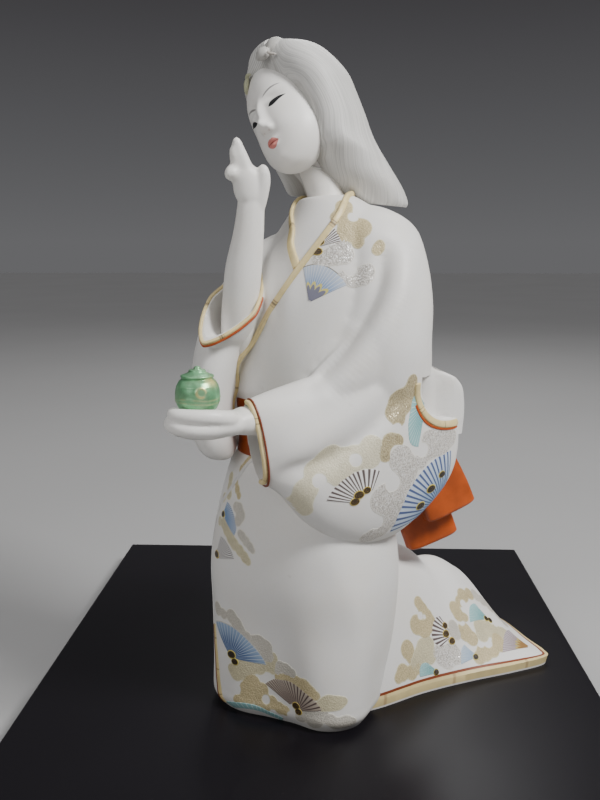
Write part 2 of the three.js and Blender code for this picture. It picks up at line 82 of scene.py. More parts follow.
# How far raised paint reaches into the skin, and the longest edge that doesn't count as torn
PAINT_ROOT = 0.6
LONGEST_EDGE = 3.0
# Places of the cross marks along the train's hem
HEM_MARKS = (7.0, 47.5, 90.0, -40.0, -90.0)


# Small mathematics
def bell(distance, width):
    return math.exp(-((distance / width) ** 2))


def step(low, high, x):
    t = min(max((x - low) / (high - low), 0.0), 1.0)
    return t * t * (3 - 2 * t)


def clamp(x, low, high):
    return min(max(x, low), high)


def squared(value, power):
    """The value with its size raised to a power and its sign kept."""
    return math.copysign(abs(value) ** power, value)


def through(rows, column, t, missing=0.0):
    """Value of a smooth curve through evenly spaced rows, at t from 0 to 1, for one column."""
    last = len(rows) - 1
    x = clamp(t, 0.0, 1.0) * last
    i = min(int(x), last - 1)
    f = x - i
    picked = [rows[clamp(n, 0, last)] for n in (i - 1, i, i + 1, i + 2)]
    p0, p1, p2, p3 = [row[column] if len(row) > column else missing for row in picked]
    slope1 = (p2 - p0) / 2
    slope2 = (p3 - p1) / 2
    f2, f3 = f * f, f * f * f
    early = (2 * f3 - 3 * f2 + 1) * p1 + (f3 - 2 * f2 + f) * slope1
    return early + (3 * f2 - 2 * f3) * p2 + (f3 - f2) * slope2


def metres(point):
    return point * (SCALE / 1000) + ORIGIN


def millimetres(point):
    return (point - ORIGIN) * (1000 / SCALE)


class Section:
    """One section of a loft. A key row holds x, y, z, half width, half depth, turn, squareness and lean."""

    def __init__(self, keys, t, toward, axis=None):
        def at(share):
            return Vector([through(keys, column, share) for column in range(3)])

        self.centre = at(t)
        along = Vector(axis) if axis else at(min(t + 0.01, 1)) - at(max(t - 0.01, 0))
        along.normalize()
        front = Vector(toward)
        front = (front - along * along.dot(front)).normalized()
        side = along.cross(front)
        turn = math.radians(through(keys, 5, t))
        lean = math.radians(through(keys, 7, t))
        self.front = front * math.cos(turn) - side * math.sin(turn)
        self.side = side * math.cos(turn) + front * math.sin(turn)
        self.side = self.side * math.cos(lean) + along * math.sin(lean)
        self.along = along
        self.half_width = through(keys, 3, t)
        self.half_depth = through(keys, 4, t)
        self.power = 2 / through(keys, 6, t, 2)

    def point(self, angle, share=1.0, lift=0.0):
        x = squared(math.sin(angle), self.power)
        y = squared(math.cos(angle), self.power)
        out = self.side * (self.half_width * x) + self.front * (self.half_depth * y)
        reach = out.length or 1
        return self.centre + out * (share * (1 + lift / reach))


def face_out(bm):
    """Turns the faces of a closed form outwards, once its normals know where its vertices have gone."""
    bm.normal_update()
    bmesh.ops.recalc_face_normals(bm, faces=bm.faces)


def sphere(sides, rows, names=()):
    """A sphere to be moved into shape, the row and column of each vertex, and new layers with these names."""
    bm = bmesh.new()
    bmesh.ops.create_uvsphere(bm, u_segments=sides, v_segments=rows, radius=1)
    layers = [bm.verts.layers.float.new(name) for name in names]
    spots = {}
    for vertex in bm.verts:
        row = round(math.acos(clamp(vertex.co.z, -1, 1)) / math.pi * rows)
        column = round(math.atan2(vertex.co.y, vertex.co.x) / TURN * sides) % sides
        spots[vertex] = row, column
    return bm, spots, layers


def grid(rows, columns, names=()):
    """A flat grid to be moved into shape, each vertex's shares along both sides, and new layers."""
    bm = bmesh.new()
    bmesh.ops.create_grid(bm, x_segments=rows, y_segments=columns, size=0.5)
    layers = [bm.verts.layers.float.new(name) for name in names]
    return bm, {vertex: (vertex.co.x + 0.5, vertex.co.y + 0.5) for vertex in bm.verts}, layers


def wrap(bm, shares):
    """Writes each vertex's pair of shares as the coordinates named wrap."""
    layer = bm.loops.layers.uv.new("wrap")
    for face in bm.faces:
        for loop in face.loops:
            loop[layer].uv = shares[loop.vert]


def eased(even, ends):
    """Moves evenly spaced rows closer together at each rounded end."""
    if ends[0] and ends[1]:
        return (1 - math.cos(math.pi * even)) / 2
    if ends[0]:
        return 1 - math.cos(math.pi * even / 2)
    if ends[1]:
        return math.sin(math.pi * even / 2)
    return even


def rounded(t, end):
    """Share of the full size at a distance t from an end that is rounded off."""
    return math.sqrt(max(0.0, 1 - (1 - t / end) ** 2)) if t < end else 1.0


def loft(keys, toward=(0, -1, 0), axis=None, sides=48, rings=40, ends=(0, 0), front_detail=0.0, relief=None):
    """A closed form whose sections follow the keys, from a sphere whose rows move to the sections."""
    bm, spots, _ = sphere(sides, rings)
    layer = bm.loops.layers.uv.new("wrap")
    first = 0 if ends[0] else 1
    last = rings if ends[1] else rings - 1
    rows = []
    for row in range(rings + 1):
        t = eased(clamp((row - first) / (last - first), 0, 1), ends)
        share = 0.0 if row in (0, rings) else rounded(t, ends[0]) * rounded(1 - t, ends[1])
        rows.append((t, share, Section(keys, t, toward, axis)))
    places = {}
    for vertex, (row, column) in spots.items():
        t, share, section = rows[row]
        even = TURN * column / sides
        angle = even - front_detail * math.sin(even)
        turned = math.atan2(math.sin(angle), math.cos(angle))
        lift = relief(t, turned, section.point(angle)) if relief and share else 0.0
        vertex.co = section.point(angle, share, lift)
        places[vertex] = (turned / TURN + 0.5, t)
    for face in bm.faces:
        around = [places[loop.vert][0] for loop in face.loops]
        for loop, u in zip(face.loops, around):
            if max(around) - min(around) > 0.5 and u < 0.5:
                u += 1
            loop[layer].uv = (u, places[loop.vert][1])
    face_out(bm)
    return bm


def shaped_grid(rows, columns, place):
    """A closed form from a grid whose vertices are moved by place(row share, column share)."""
    bm, shares, _ = grid(rows, columns)
    wrap(bm, shares)
    for vertex, (row, column) in shares.items():
        vertex.co = place(row, column)
    bmesh.ops.remove_doubles(bm, verts=bm.verts, dist=1e-4)
    face_out(bm)
    return bm


def tube_band(path, width, thickness, closed, rows, columns, narrow=1.0):
    """A flat band with rounded edges along path(t), which gives a point, its across and its out direction.
    The band's far end is as wide as its start times narrow."""

    def place(row, column):
        point, across, out = path(row)
        angle = TURN * column
        x = squared(math.cos(angle), BAND_POWER) * width / 2 * (1 + (narrow - 1) * row)
        y = squared(math.sin(angle), BAND_POWER) * thickness / 2
        if not closed:
            end = clamp(min(row, 1 - row) * rows / 1.5, 0, 1)
            x, y = x * math.sqrt(end), y * math.sqrt(end)
        return point + across * x + out * y

    return shaped_grid(rows, columns, place)


def merged(parts):
    """Several bmeshes as one, each kept with its own coordinates."""
    whole = bmesh.new()
    for part in parts:
        mesh = bpy.data.meshes.new("part")
        part.to_mesh(mesh)
        whole.from_mesh(mesh)
        part.free()
        bpy.data.meshes.remove(mesh)
    return whole


def placed(name, bm, material=None, drawn=True):
    """An object from a bmesh, which is drawn in the figure's own millimetres or is already in metres."""
    if drawn:
        for vertex in bm.verts:
            vertex.co = metres(vertex.co)
    mesh = bpy.data.meshes.new(name)
    bm.to_mesh(mesh)
    bm.free()
    if material:
        mesh.materials.append(material)
    made = bpy.data.objects.new(name, mesh)
    bpy.context.scene.collection.objects.link(made)
    return made


def piece(name, bm, material, sharp=40.0, node="figure", drawn=True):
    """A finished piece of the doll, shaded smooth but for edges above the sharp angle."""
    made = placed(name, bm, material, drawn)
    smooth(made.data, sharp)
    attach(made, "root")
    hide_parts(node)
    return made


def smooth(mesh, sharp):
    mesh.shade_smooth()
    mesh.set_sharp_from_angle(angle=math.radians(sharp))


def settle(made):
    """Puts the result of an object's modifiers into its mesh."""
    graph = bpy.context.evaluated_depsgraph_get()
    mesh = bpy.data.meshes.new_from_object(made.evaluated_get(graph))
    old = made.data
    made.modifiers.clear()
    made.data = mesh
    bpy.data.meshes.remove(old)


def remesh(made, voxel, rounds):
    """Fuses overlapping forms into one skin and softens it, as wet clay is smoothed with a brush."""
    modifier = made.modifiers.new("fuse", "REMESH")
    modifier.mode = "VOXEL"
    modifier.voxel_size = voxel / 1000
    modifier.use_smooth_shade = True
    soft = made.modifiers.new("soften", "SMOOTH")
    soft.factor = 0.5
    soft.iterations = rounds
    settle(made)


def cut(made, cutter, lining=None):
    """Takes a cutter's form out of an object and paints the cut with the lining."""
    tool = placed("cutter", cutter, lining)
    modifier = made.modifiers.new("cut", "BOOLEAN")
    modifier.operation = "DIFFERENCE"
    modifier.object = tool
    modifier.solver = "MANIFOLD"
    modifier.material_mode = "TRANSFER"
    settle(made)
    bpy.data.objects.remove(tool)


def without(bm, cutter):
    """What is left of one bmesh after another is cut from it."""
    made = placed("cut_part", bm)
    cut(made, cutter)
    left = bmesh.new()
    left.from_mesh(made.data)
    for vertex in left.verts:
        vertex.co = millimetres(vertex.co)
    bpy.data.objects.remove(made)
    return left


# Shader maths
def on_wires(operation):
    """A method that adds one Math node."""

    def method(self, *others):
        return self.math(operation, self, *others)

    return method


class Wire:
    """A number socket whose sums, products and comparisons add Math nodes."""

    def __init__(self, coat, socket):
        self.coat = coat
        self.socket = socket

    def math(self, operation, *values):
        return Wire(self.coat, self.coat.node("ShaderNodeMath", {"operation": operation}, values).outputs[0])

    __add__ = __radd__ = on_wires("ADD")
    __mul__ = __rmul__ = on_wires("MULTIPLY")
    __sub__ = on_wires("SUBTRACT")
    __truediv__ = on_wires("DIVIDE")
    more = on_wires("GREATER_THAN")
    less = on_wires("LESS_THAN")
    high = on_wires("MAXIMUM")
    low = on_wires("MINIMUM")
    size = on_wires("ABSOLUTE")
    sine = on_wires("SINE")
    rest = on_wires("FRACT")

    def __rsub__(self, other):
        return self.math("SUBTRACT", other, self)

    def ramp(self, low, high):
        """0 at low and 1 at high, with soft ends."""
        inputs = {"Value": self, "From Min": low, "From Max": high}
        node = self.coat.node("ShaderNodeMapRange", {"interpolation_type": "SMOOTHSTEP"}, inputs)
        return Wire(self.coat, node.outputs[0])

    def band(self, low, high, soft):
        """1 where the number lies between low and high."""
        return self.ramp(low - soft, low + soft) * (1 - self.ramp(high - soft, high + soft))

    def within(self, low, high):
        """1 below low and 0 above high."""
        return 1 - self.ramp(low, high)


class Finish:
    """One material and the nodes of its shader."""

    def __init__(self, name):
        self.material = bpy.data.materials.new(name)
        self.material.use_nodes = True
        self.tree = self.material.node_tree
        self.tree.nodes.clear()

    def node(self, kind, settings=None, inputs=()):
        """A node with its settings, whose inputs are numbers, wires or sockets by index or by name."""
        made = self.tree.nodes.new(kind)
        for key, value in (settings or {}).items():
            setattr(made, key, value)
        for key, value in inputs.items() if isinstance(inputs, dict) else enumerate(inputs):
            if isinstance(value, Wire):
                value = value.socket
            if hasattr(value, "is_output"):
                self.tree.links.new(value, made.inputs[key])
            else:
                made.inputs[key].default_value = value
        return made

    def uv(self, name="wrap"):
        place = self.node("ShaderNodeUVMap", {"uv_map": name}).outputs[0]
        split = self.node("ShaderNodeSeparateXYZ", None, [place])
        return [Wire(self, socket) for socket in split.outputs[:2]]

    def object_place(self):
        return self.node("ShaderNodeTexCoord").outputs["Object"]

    def attribute(self, name):
        return Wire(self, self.node("ShaderNodeAttribute", {"attribute_name": name}).outputs["Fac"])

    def noise(self, scale, detail=2.0, vector=None, roughness=0.5):
        vector = vector or self.object_place()
        inputs = {"Vector": vector, "Scale": scale, "Detail": detail, "Roughness": roughness}
        return Wire(self, self.node("ShaderNodeTexNoise", None, inputs).outputs["Fac"])

    def cells(self, scale):
        """Distance to the middle of the nearest of many small cells."""
        inputs = {"Vector": self.object_place(), "Scale": scale}
        return Wire(self, self.node("ShaderNodeTexVoronoi", {"feature": "F1"}, inputs).outputs["Distance"])

    def mix(self, factor, low, high):
        """Colour low where the factor is 0 and colour high where it is 1."""
        low, high = [tint if hasattr(tint, "is_output") else (*tint, 1) for tint in (low, high)]
        return self.node("ShaderNodeMix", {"data_type": "RGBA"}, {0: factor, 6: low, 7: high}).outputs[2]

    def bump(self, height, strength, distance):
        """A bump from a height in units of distance millimetres."""
        inputs = {"Height": height, "Strength": strength, "Distance": distance / 1000}
        return self.node("ShaderNodeBump", None, inputs).outputs[0]

    def done(self, base, roughness, normal, metallic=0.0, specular=0.5):
        inputs = {"Base Color": base, "Roughness": roughness, "Normal": normal, "Metallic": metallic,
                  "Specular IOR Level": specular}
        shader = self.node("ShaderNodeBsdfPrincipled", None, inputs)
        self.node("ShaderNodeOutputMaterial", None, {"Surface": shader.outputs[0]})
        return self.material


def colour(name, default, text):
    limits = {"size": 3, "min": 0, "max": 1}
    return FloatVectorProperty(name=name, description=text, subtype="COLOR", default=default, **limits)


def length(name, default, low, high, text):
    text = f"{text}, in millimetres"
    return FloatProperty(name=name, description=text, default=default, min=low, max=high)


class DollPaints(bpy.types.PropertyGroup):
    """Paint colours of the doll"""

    robe: colour("Robe", (0.77, 0.755, 0.73), "White of the kimono")
    hair: colour("Hair", (0.61, 0.60, 0.575), "Grey-white of the hair")
    skin: colour("Skin", (0.84, 0.82, 0.785), "White of the face and hands")
    lips: colour("Lips", (0.62, 0.13, 0.10), "Red of the lips")
    trim: colour("Trim", (0.74, 0.60, 0.30), "Cream yellow of the borders")
    line: colour("Line", (0.21, 0.045, 0.012), "Red brown of the border lines")
    sash: colour("Sash", (0.50, 0.085, 0.008), "Orange of the sash")
    blue: colour("Blue", (0.13, 0.24, 0.46), "Blue of the fans")
    teal: colour("Teal", (0.13, 0.34, 0.35), "Blue green of the fans")
    gold: colour("Gold", (0.56, 0.465, 0.265), "Gold of the clouds")
    cream: colour("Cream", (0.69, 0.635, 0.465), "Pale cream of the clouds")
    green: colour("Green", (0.16, 0.40, 0.20), "Green of the incense burner")
    lacquer: colour("Lacquer", (0.006, 0.005, 0.007), "Black of the board")


class DollSizes(bpy.types.PropertyGroup):
    """Sizes of the doll's finer parts"""

    band: length("Collar width", 3.4, 1, 10, "Width of the collar bands")
    raised: length("Raised paint", 0.16, 0.02, 1, "Thickness of the raised pattern")
    bevel: length("Board bevel", 1.5, 0.2, 5, "Rounding of the board's edges")
    strands: IntProperty(
        name="Hair strands", description="Comb lines around the hair", default=260, min=20, max=400
    )


# Forms of the figure, as rows of x, y, z, half width, half depth, turn, squareness and lean
BODY = [
    (0.6, -3, 0, 35.4, 27.4, 24, 3.7, 0),
    (0.6, -3, 4, 38.4, 30.4, 24, 3.6, 0),
    (1.3, -2, 22, 39.7, 31.7, 25, 3.2, 0),
    (2, 0, 44, 42.5, 33.5, 27, 2.7, 0),
    (2, 0.5, 66, 44, 35, 30, 2.5, 0),
    (2, 0.5, 88, 41.5, 34, 34, 2.4, 0),
    (1, 0, 108, 36, 30, 36, 2.3, 0),
    (0.5, 0, 122, 31.5, 26.5, 36, 2.2, 0),
    (1, 0, 136, 31, 25.5, 35, 2.2, 0),
    (2, 0, 152, 34, 27, 34, 2.2, 0),
    (3, 0, 170, 36, 27.5, 33, 2.2, 2),
    (5, 0, 188, 36, 26, 32, 2.2, 5),
    (8, 0.5, 204, 32, 23.5, 32, 2.2, 8),
    (11.5, 1, 217, 26, 20, 32, 2.2, 10),
    (12.5, 2, 226, 20, 15.5, 32, 2.1, 8),
    (11.5, 2.5, 233, 12, 11, 32, 2, 4),
]


def body_share(z):
    low, high = 0.0, 1.0
    for _ in range(22):
        middle = (low + high) / 2
        if through(BODY, 2, middle) < z:
            low = middle
        else:
            high = middle
    return (low + high) / 2


def body_relief(t, angle, point):
    in_sash = step(116, 120, point.z) * (1 - step(145, 150, point.z))
    parting = -2.2 * bell(angle - math.radians(4), 0.2) * (1 - step(20, 70, point.z))
    overlap = 2.4 * bell(angle + 0.8, 0.42) * bell(point.z - 148, 13)
    thigh = 0.7 * bell(angle - math.radians(62) + (point.z - 40) * 0.006, 0.22) * (1 - step(60, 105, point.z))
    fold = 1.1 * bell(angle - math.radians(6), 0.13) * bell(point.z - 193, 13)
    return -1.8 * in_sash + parting + overlap + thigh + fold


def on_body(z, degrees, lift=0.0):
    t = body_share(z)
    angle = math.radians(degrees)
    section = Section(BODY, t, (0, -1, 0), (0, 0, 1))
    turned = math.atan2(math.sin(angle), math.cos(angle))
    return section.point(angle, 1, body_relief(t, turned, section.point(angle)) + lift)


SLEEVE_ALONG = Vector((0.866, 0.5, 0))
SLEEVE_OUT = Vector((0.5, -0.866, 0))
SLEEVE_WRIST = Vector((-14, -50, 0))
# Each row: distance from the wrist, top, bottom, half thickness, shift towards the viewer and lean.
POUCH = [
    (-2.7, 152.5, 117, 7.5, 0, 10),
    (5.6, 155, 111, 10.3, 0.5, 9),
    (17, 158, 98.5, 12.5, 1, 5),
    (32, 162, 89.5, 13.5, 1.5, 2),
    (47, 168, 85.4, 14.5, 1.5, 0),
    (63, 171, 86.6, 15, 0.5, 0),
    (78, 160, 95, 15, -1, 0),
    (90, 149, 106, 13, -2, 0),
    (97, 140, 118, 9, -3, 0),
]


def pouch_place(along, out, z):
    place = SLEEVE_WRIST + SLEEVE_ALONG * along + SLEEVE_OUT * out
    return Vector((place.x, place.y, z))


POUCH_KEYS = [
    (*pouch_place(along, out, (top + bottom) / 2), (top - bottom) / 2, thick, 0, 2.3, lean)
    for along, top, bottom, thick, out, lean in POUCH
]
POUCH_MOUTH = [
    (*pouch_place(-8.7, 0, 135.5), 17.4, 6.6, 0, 2.3, 10),
    (*pouch_place(-2.7, 0, 134.8), 16.6, 6.0, 0, 2.3, 10),
    (*pouch_place(7, 0.5, 135), 13, 5.2, 0, 2.3, 6),
    (*pouch_place(16, 1, 136), 10, 4.5, 0, 2.2, 5),
]
UPPER_ARM = [
    (28, -3, 229.5, 14.5, 12),
    (32.5, -6, 220.5, 18.5, 15.5),
    (36, -10, 205, 19.6, 18.5),
    (37, -14.5, 188, 20.5, 20),
    (35.5, -18, 173, 22, 20.2),
    (36, -19.5, 160, 22.5, 17.8),
    (39, -19.5, 147, 19, 13.5),
    (42, -18, 137, 12, 10),
]
FOREARM = [
    (33, -20, 176, 17), (28, -25, 166, 15.5), (18, -31.5, 155.5, 12.5), (8, -37, 149, 9.5),
    (0, -41.5, 146, 7.5),
]


def pouch_relief(t, angle, point):
    along = (point - SLEEVE_WRIST).dot(SLEEVE_ALONG)
    valley = 119.5 + along * 0.22 + along * along * 0.0062
    facing = step(-0.2, 0.5, math.cos(angle))
    reach = step(-2, 12, along) * (1 - step(46, 72, along))
    above = point.z - valley
    return (1.0 * bell(above - 11, 7) - 3.4 * bell(above, 5.5)) * facing * reach


RIGHT_SLEEVE = [
    (-33.5, -6, 117.5, 5, 13, 0, 2.2),
    (-37, -6, 123, 7.8, 19, 0, 2.3),
    (-39.3, -6, 134, 9.4, 22.5, 0, 2.3),
    (-38.2, -6, 150, 9.6, 23.5, 0, 2.3),
    (-35.4, -5, 166, 11, 22.5, 0, 2.3),
    (-30.5, -2, 181, 11.6, 20, 0, 2.2),
    (-24, 3, 195, 11, 17, 0, 2.1),
    (-14, 7, 208, 11, 13, 0, 2),
    (-6, 8, 218, 8, 9, 0, 2),
]
CUFF_AXIS = (-0.12, -0.7, 0.7)
CUFF_LOW = (-0.42, -0.36, -0.82)
CUFF_HOLE = [
    (-28, -12, 178, 4, 6, 0, 2),
    (-28, -16, 182, 7.6, 13.6, 0, 1.7),
    (-28, -23.1, 189.6, 10.1, 21.3, 0, 1.45),
]


CUFF = [
    (-28, -8, 174, 10, 12, 0, 1.9),
    (-28, -15, 181, 10.6, 17.5, 0, 1.8),
    (-28, -21, 187.5, 11.6, 22.8, 0, 1.45),
]


TRAIN_CENTRE = (52, 36)
TRAIN_OUTLINE = [
    (125.6, 38), (120, 51), (111, 74), (98, 92), (76, 104), (46, 100), (14, 80), (-12, 54),
    (-26, 26), (-22, 0), (-2, -12), (20, -22), (36, -17), (60, -1.2), (84, 11), (108, 21.4), (125, 30.5),
]
TRAIN_HEM = 4.6
CALF = (20, -2, 83)
HEEL = (79, 64, 44)


def outline_point(around):
    rows = [TRAIN_OUTLINE[-1], *TRAIN_OUTLINE, TRAIN_OUTLINE[0], TRAIN_OUTLINE[1]]
    count = len(TRAIN_OUTLINE)
    t = (around % 1.0 * count + 1) / (count + 2)
    return Vector((through(rows, 0, t), through(rows, 1, t), 0))


def train_height(x, y, edge):
    dx, dy = HEEL[0] - CALF[0], HEEL[1] - CALF[1]
    length = math.hypot(dx, dy)
    s = ((x - CALF[0]) * dx + (y - CALF[1]) * dy) / length
    aside = ((x - CALF[0]) * dy - (y - CALF[1]) * dx) / length
    beyond = max(0.0, s - length)
    top = CALF[2] + (HEEL[2] - CALF[2]) * clamp(s / length, -0.2, 1)
    ridge = (top - TRAIN_HEM) * bell(aside, 31) * bell(beyond, 26)
    fold = -4.6 * bell(s - 60, 9) * bell(aside - 8, 22)
    fold -= 3.2 * bell(aside + 27 + s * 0.12, 6) * bell(s - 40, 30)
    return TRAIN_HEM + (ridge + fold) * (1 - edge**4)


HEAD_POSE = (
    Matrix.Translation((-5, 2, 265.9))
    @ Matrix.Rotation(math.radians(-35.5), 4, "Z")
    @ Matrix.Rotation(math.radians(-2), 4, "X")
    @ Matrix.Rotation(math.radians(-27), 4, "Y")
)
FACE_TURN = math.radians(-4)
HEAD = [
    (0, 1, 25.5, 1, 1),
    (0, 1, 22.5, 9, 10),
    (0, 1, 16.5, 13.6, 14.4),
    (0, 0.6, 9.5, 16, 16.4),
    (0, 0.2, 2.5, 16.6, 17),
    (0, -0.2, -4, 16.7, 16.8),
    (0, -0.8, -10, 16.2, 15.8),
    (0, -1.8, -15.5, 14.2, 13.8),
    (0, -3.2, -20, 10.8, 10.8),
    (0, -4.6, -23.4, 6.4, 7),
    (0, -5, -24.8, 2, 2.4),
]
HAIR = [
    (-4, 4, 298.5, 2, 2, 30, 2),
    (-4, 4.2, 296.5, 11, 12, 30, 2),
    (-3.4, 4.4, 292, 17, 18.5, 32, 2),
    (-0.8, 5, 285, 20.8, 23, 34, 2),
    (0.6, 6, 277.5, 22.8, 26, 34, 2),
    (3, 7.4, 269, 23.8, 27, 33, 2.1),
    (6.6, 9, 259, 24.4, 26, 31, 2.2),
    (13, 11, 247.5, 26, 20, 26, 2.3),
    (18, 13, 239, 27.6, 15, 20, 2.4, -3),
    (20.4, 14, 233.6, 28.0, 12, 18, 2.5, -5),
    (21, 14.4, 231.6, 27.0, 10.6, 18, 2.5, -6),
]


def face_relief(t, angle, p):
    front = step(0.2, 0.75, math.cos(angle))
    x, z = p.x, p.z
    side = abs(x)
    bridge = 2.4 * bell(x, 1.8) * step(-7, -4, z) * (1 - step(0, 8, z))
    tip = 3.5 * bell(x, 2.0) * bell(z + 6.4, 2.4)
    wings = 1.5 * bell(side - 2.2, 1.1) * bell(z + 7.5, 1.3)
    under = -0.9 * bell(x, 2.6) * bell(z + 10.0, 1.0)
    sockets = -1.2 * bell(side - 6.4, 3.6) * bell(z - 4.0, 2.2)
    lids = 0.8 * bell(side - 6.8, 3.0) * bell(z - 2.2, 1.3)
    cheeks = 0.5 * bell(side - 8, 4) * bell(z + 8, 5)
    mouth = 0.6 * bell(x, 3.2) * bell(z + 13.6, 3.2)
    upper = 0.75 * bell(x, 2.5) * bell(z + 12.8, 0.75)
    lower = 0.85 * bell(x, 2.1) * bell(z + 14.9, 0.85)
    parted = -0.45 * bell(x, 2.6) * bell(z + 13.8, 0.35)
    chin = 0.8 * bell(x, 3.4) * bell(z + 20, 2.4)
    far_cheek = -1.5 * bell(x + 14, 9) * bell(z + 7, 10)
    nose = bridge + tip + wings + under
    lips = mouth + upper + lower + parted
    return far_cheek + front * (nose + sockets + lids + cheeks + lips + chin)


# Materials
def paints():
    return bpy.context.scene.doll_paints


def sizes():
    return bpy.context.scene.doll_sizes


def tone(base, *factors):
    """The colour times one factor, or times a factor each for red, green and blue, up to full white."""
    return tuple(min(1, part * factors[n % len(factors)]) for n, part in enumerate(base))


def brushed_white(coat, base):
    """Cloudy matt paint over clay, as its colour, its cloudiness and the height of its brush grain."""
    cloudy = coat.noise(38, 4, roughness=0.6)
    fine = coat.noise(900, 3)
    shade = coat.mix(cloudy.ramp(0.35, 0.75) * 0.55, base, tone(base, 0.99, 0.955, 0.90))
    shade = coat.mix(fine.ramp(0.4, 0.8) * 0.35, shade, tone(base, 0.93))
    return shade, cloudy, fine * 0.5 + coat.noise(2400, 2) * 0.5


def matt_paint(name, base, grain=0.03, roughness=0.5):
    """Matt paint over clay: faint cloudiness, brush grain and a few dust specks."""
    coat = Finish(name)
    shade, cloudy, height = brushed_white(coat, base)
    dust = coat.noise(260, 1).ramp(0.73, 0.80) * coat.noise(60, 2).ramp(0.5, 0.7)
    shade = coat.mix(dust * 0.25, shade, (0.30, 0.25, 0.20))
    return coat.done(shade, roughness + (cloudy - 0.5) * 0.12, coat.bump(height, 0.35, grain))


def skin_paint(name):
    return matt_paint(name, paints().skin, 0.02, 0.42)


def train_paint():
    """The robe's white with a cream band and a red line painted along the hem."""
    coat = Finish("train_paint")
    p = paints()
    shade, _, height = brushed_white(coat, p.robe)
    hem = coat.attribute("hem") + (coat.noise(60, 2) - 0.5) * 0.25
    cream = coat.mix(coat.noise(120, 4).ramp(0.3, 0.75), p.trim, tone(p.trim, 0.84))
    along = coat.attribute("along")
    for place in HEM_MARKS:
        cream = coat.mix((along - place).size().within(0.3, 1.3) * 0.5, cream, (0.30, 0.16, 0.09))
    shade = coat.mix(hem.within(1.55, 1.75) * coat.attribute("up").ramp(0.7, 1.1), shade, cream)
    shade = coat.mix(hem.band(1.6, 2.9, 0.1), shade, p.line)
    return coat.done(shade, 0.48, coat.bump(height, 0.35, 0.035))


def hair_paint(name, base):
    """Matt grey-white paint with fine comb lines along the hair, darker at its inner and lower edges."""
    coat = Finish(name)
    u, v = coat.uv()
    strands = (u + coat.noise(22, 1) * 0.006) * sizes().strands
    lines = 0
    for finer, along, share in ((1, 2.5, 0.55), (2.2, 4, 0.45)):
        place = coat.node("ShaderNodeCombineXYZ", None, [strands * finer, v * along, 0]).outputs[0]
        lines = coat.noise(1.0, 2, place) * share + lines
    fore = coat.attribute("fore")
    combed = (coat.attribute("comb") * 7.0 + coat.noise(80, 2) * 2.0).sine() * 0.22 + 0.5
    lines = lines * (1 - fore) + combed * fore
    shade = coat.mix(lines.ramp(0.34, 0.62), tone(base, 0.74), tone(base, 1.10))
    shade = coat.mix(coat.noise(45, 3).ramp(0.4, 0.8) * 0.3, shade, tone(base, 1, 0.97, 0.92))
    # Painted shade: dark grey-brown along the hair's inner edge and towards its lower end, where it lies in
    # shadow under the face and behind the neck; partly the doll's own airbrushed grey.
    low = v.ramp(0.55, 0.95)
    inner = u.low(1 - u).within(0, low * 0.13 + 0.02)
    shade = coat.mix(inner * (low * 0.35 + 0.4), shade, (0.20, 0.185, 0.16))
    return coat.done(shade, 0.52, coat.bump(lines, 0.7, 0.13))


def face_paint(name, base, lips):
    """White face with painted eyes, brows and lips, placed on the face's own front view in millimetres."""
    coat = Finish(name)
    u, v = coat.uv("face")
    x, z = u * FACE_VIEW - FACE_VIEW / 2, v * FACE_VIEW - FACE_VIEW / 2
    side = x.size()
    # Eyes: a dark downcast lens that rises outwards to a thin tip, with a thin line of painted shade above it
    # along the lid's crease.
    eye_z = z + (1 - x.more(0)) * 2.6
    along = (side - 4.2) / 7.4
    lash = 1.0 + along * 2.3 - (along - 0.5) * (along - 0.5) * 1.4
    thick = (1 - along) * along.high(0) * 4.0 * (1.3 - along * 0.85) * 1.3
    eye = side.band(4.25, 11.5, 0.12) * ((eye_z - lash).size() - thick).within(-0.12, 0.16)
    lid_shade = side.band(5.0, 10.6, 0.8) * ((eye_z - lash - 1.5).size() - 0.06).within(-0.02, 0.22) * 0.22
    out = side - 3.2
    brow_line = 6.6 + out * 0.66 - out * out * 0.052
    brow_thick = 0.13 + side.band(3.6, 8.4, 1.6) * 0.18
    brow = side.band(2.8, 10.2, 0.9) * ((eye_z - brow_line).size() - brow_thick).within(-0.10, 0.24) * 0.78
    # Lips: two low curves that meet in a thin darker line.
    square = x * x
    across = (1 - square / 11.4).high(0)
    up = z + 13.7
    over = up.less(across * (1.95 - (1 - (square * 2.5).low(1)) * 0.35)) * up.more(0)
    beneath = up.more(across * -2.4) * up.less(0.01)
    mouth = (over + beneath).low(1) * (side - 3.2).within(-0.2, 0.3)
    parting = mouth * ((z + 13.75).size() - 0.08).within(-0.05, 0.2)
    # Painted highlight: a lighter pink spot on the lower lip.
    lip_highlight = mouth * ((x - 0.7) * (x - 0.7) * 0.5 + (z + 14.7) * (z + 14.7) * 3).within(0.1, 0.9)
    nostril = ((side - 1.5) * (side - 1.5) * 1.2 + (z + 8.8) * (z + 8.8) * 4).within(0.10, 0.45)
    shade = coat.mix(coat.noise(60, 3).ramp(0.3, 0.8) * 0.4, base, tone(base, 1, 0.965, 0.93))
    front = coat.attribute("front")
    for share, strength, tint in (
        (nostril, 0.25, (0.35, 0.17, 0.12)),
        (lid_shade, 1, (0.25, 0.2, 0.18)),
        (brow, 1, (0.10, 0.095, 0.09)),
        (eye, 1, (0.006, 0.006, 0.008)),
        (mouth, 0.88, lips),
        (parting, 0.75, tone(lips, 0.35)),
        (lip_highlight, 0.35, (0.9, 0.42, 0.34)),
    ):
        shade = coat.mix(share * front * strength, shade, tint)
    return coat.done(shade, 0.42 + eye * front * 0.45, coat.bump(coat.noise(1500, 2), 0.12, 0.02))


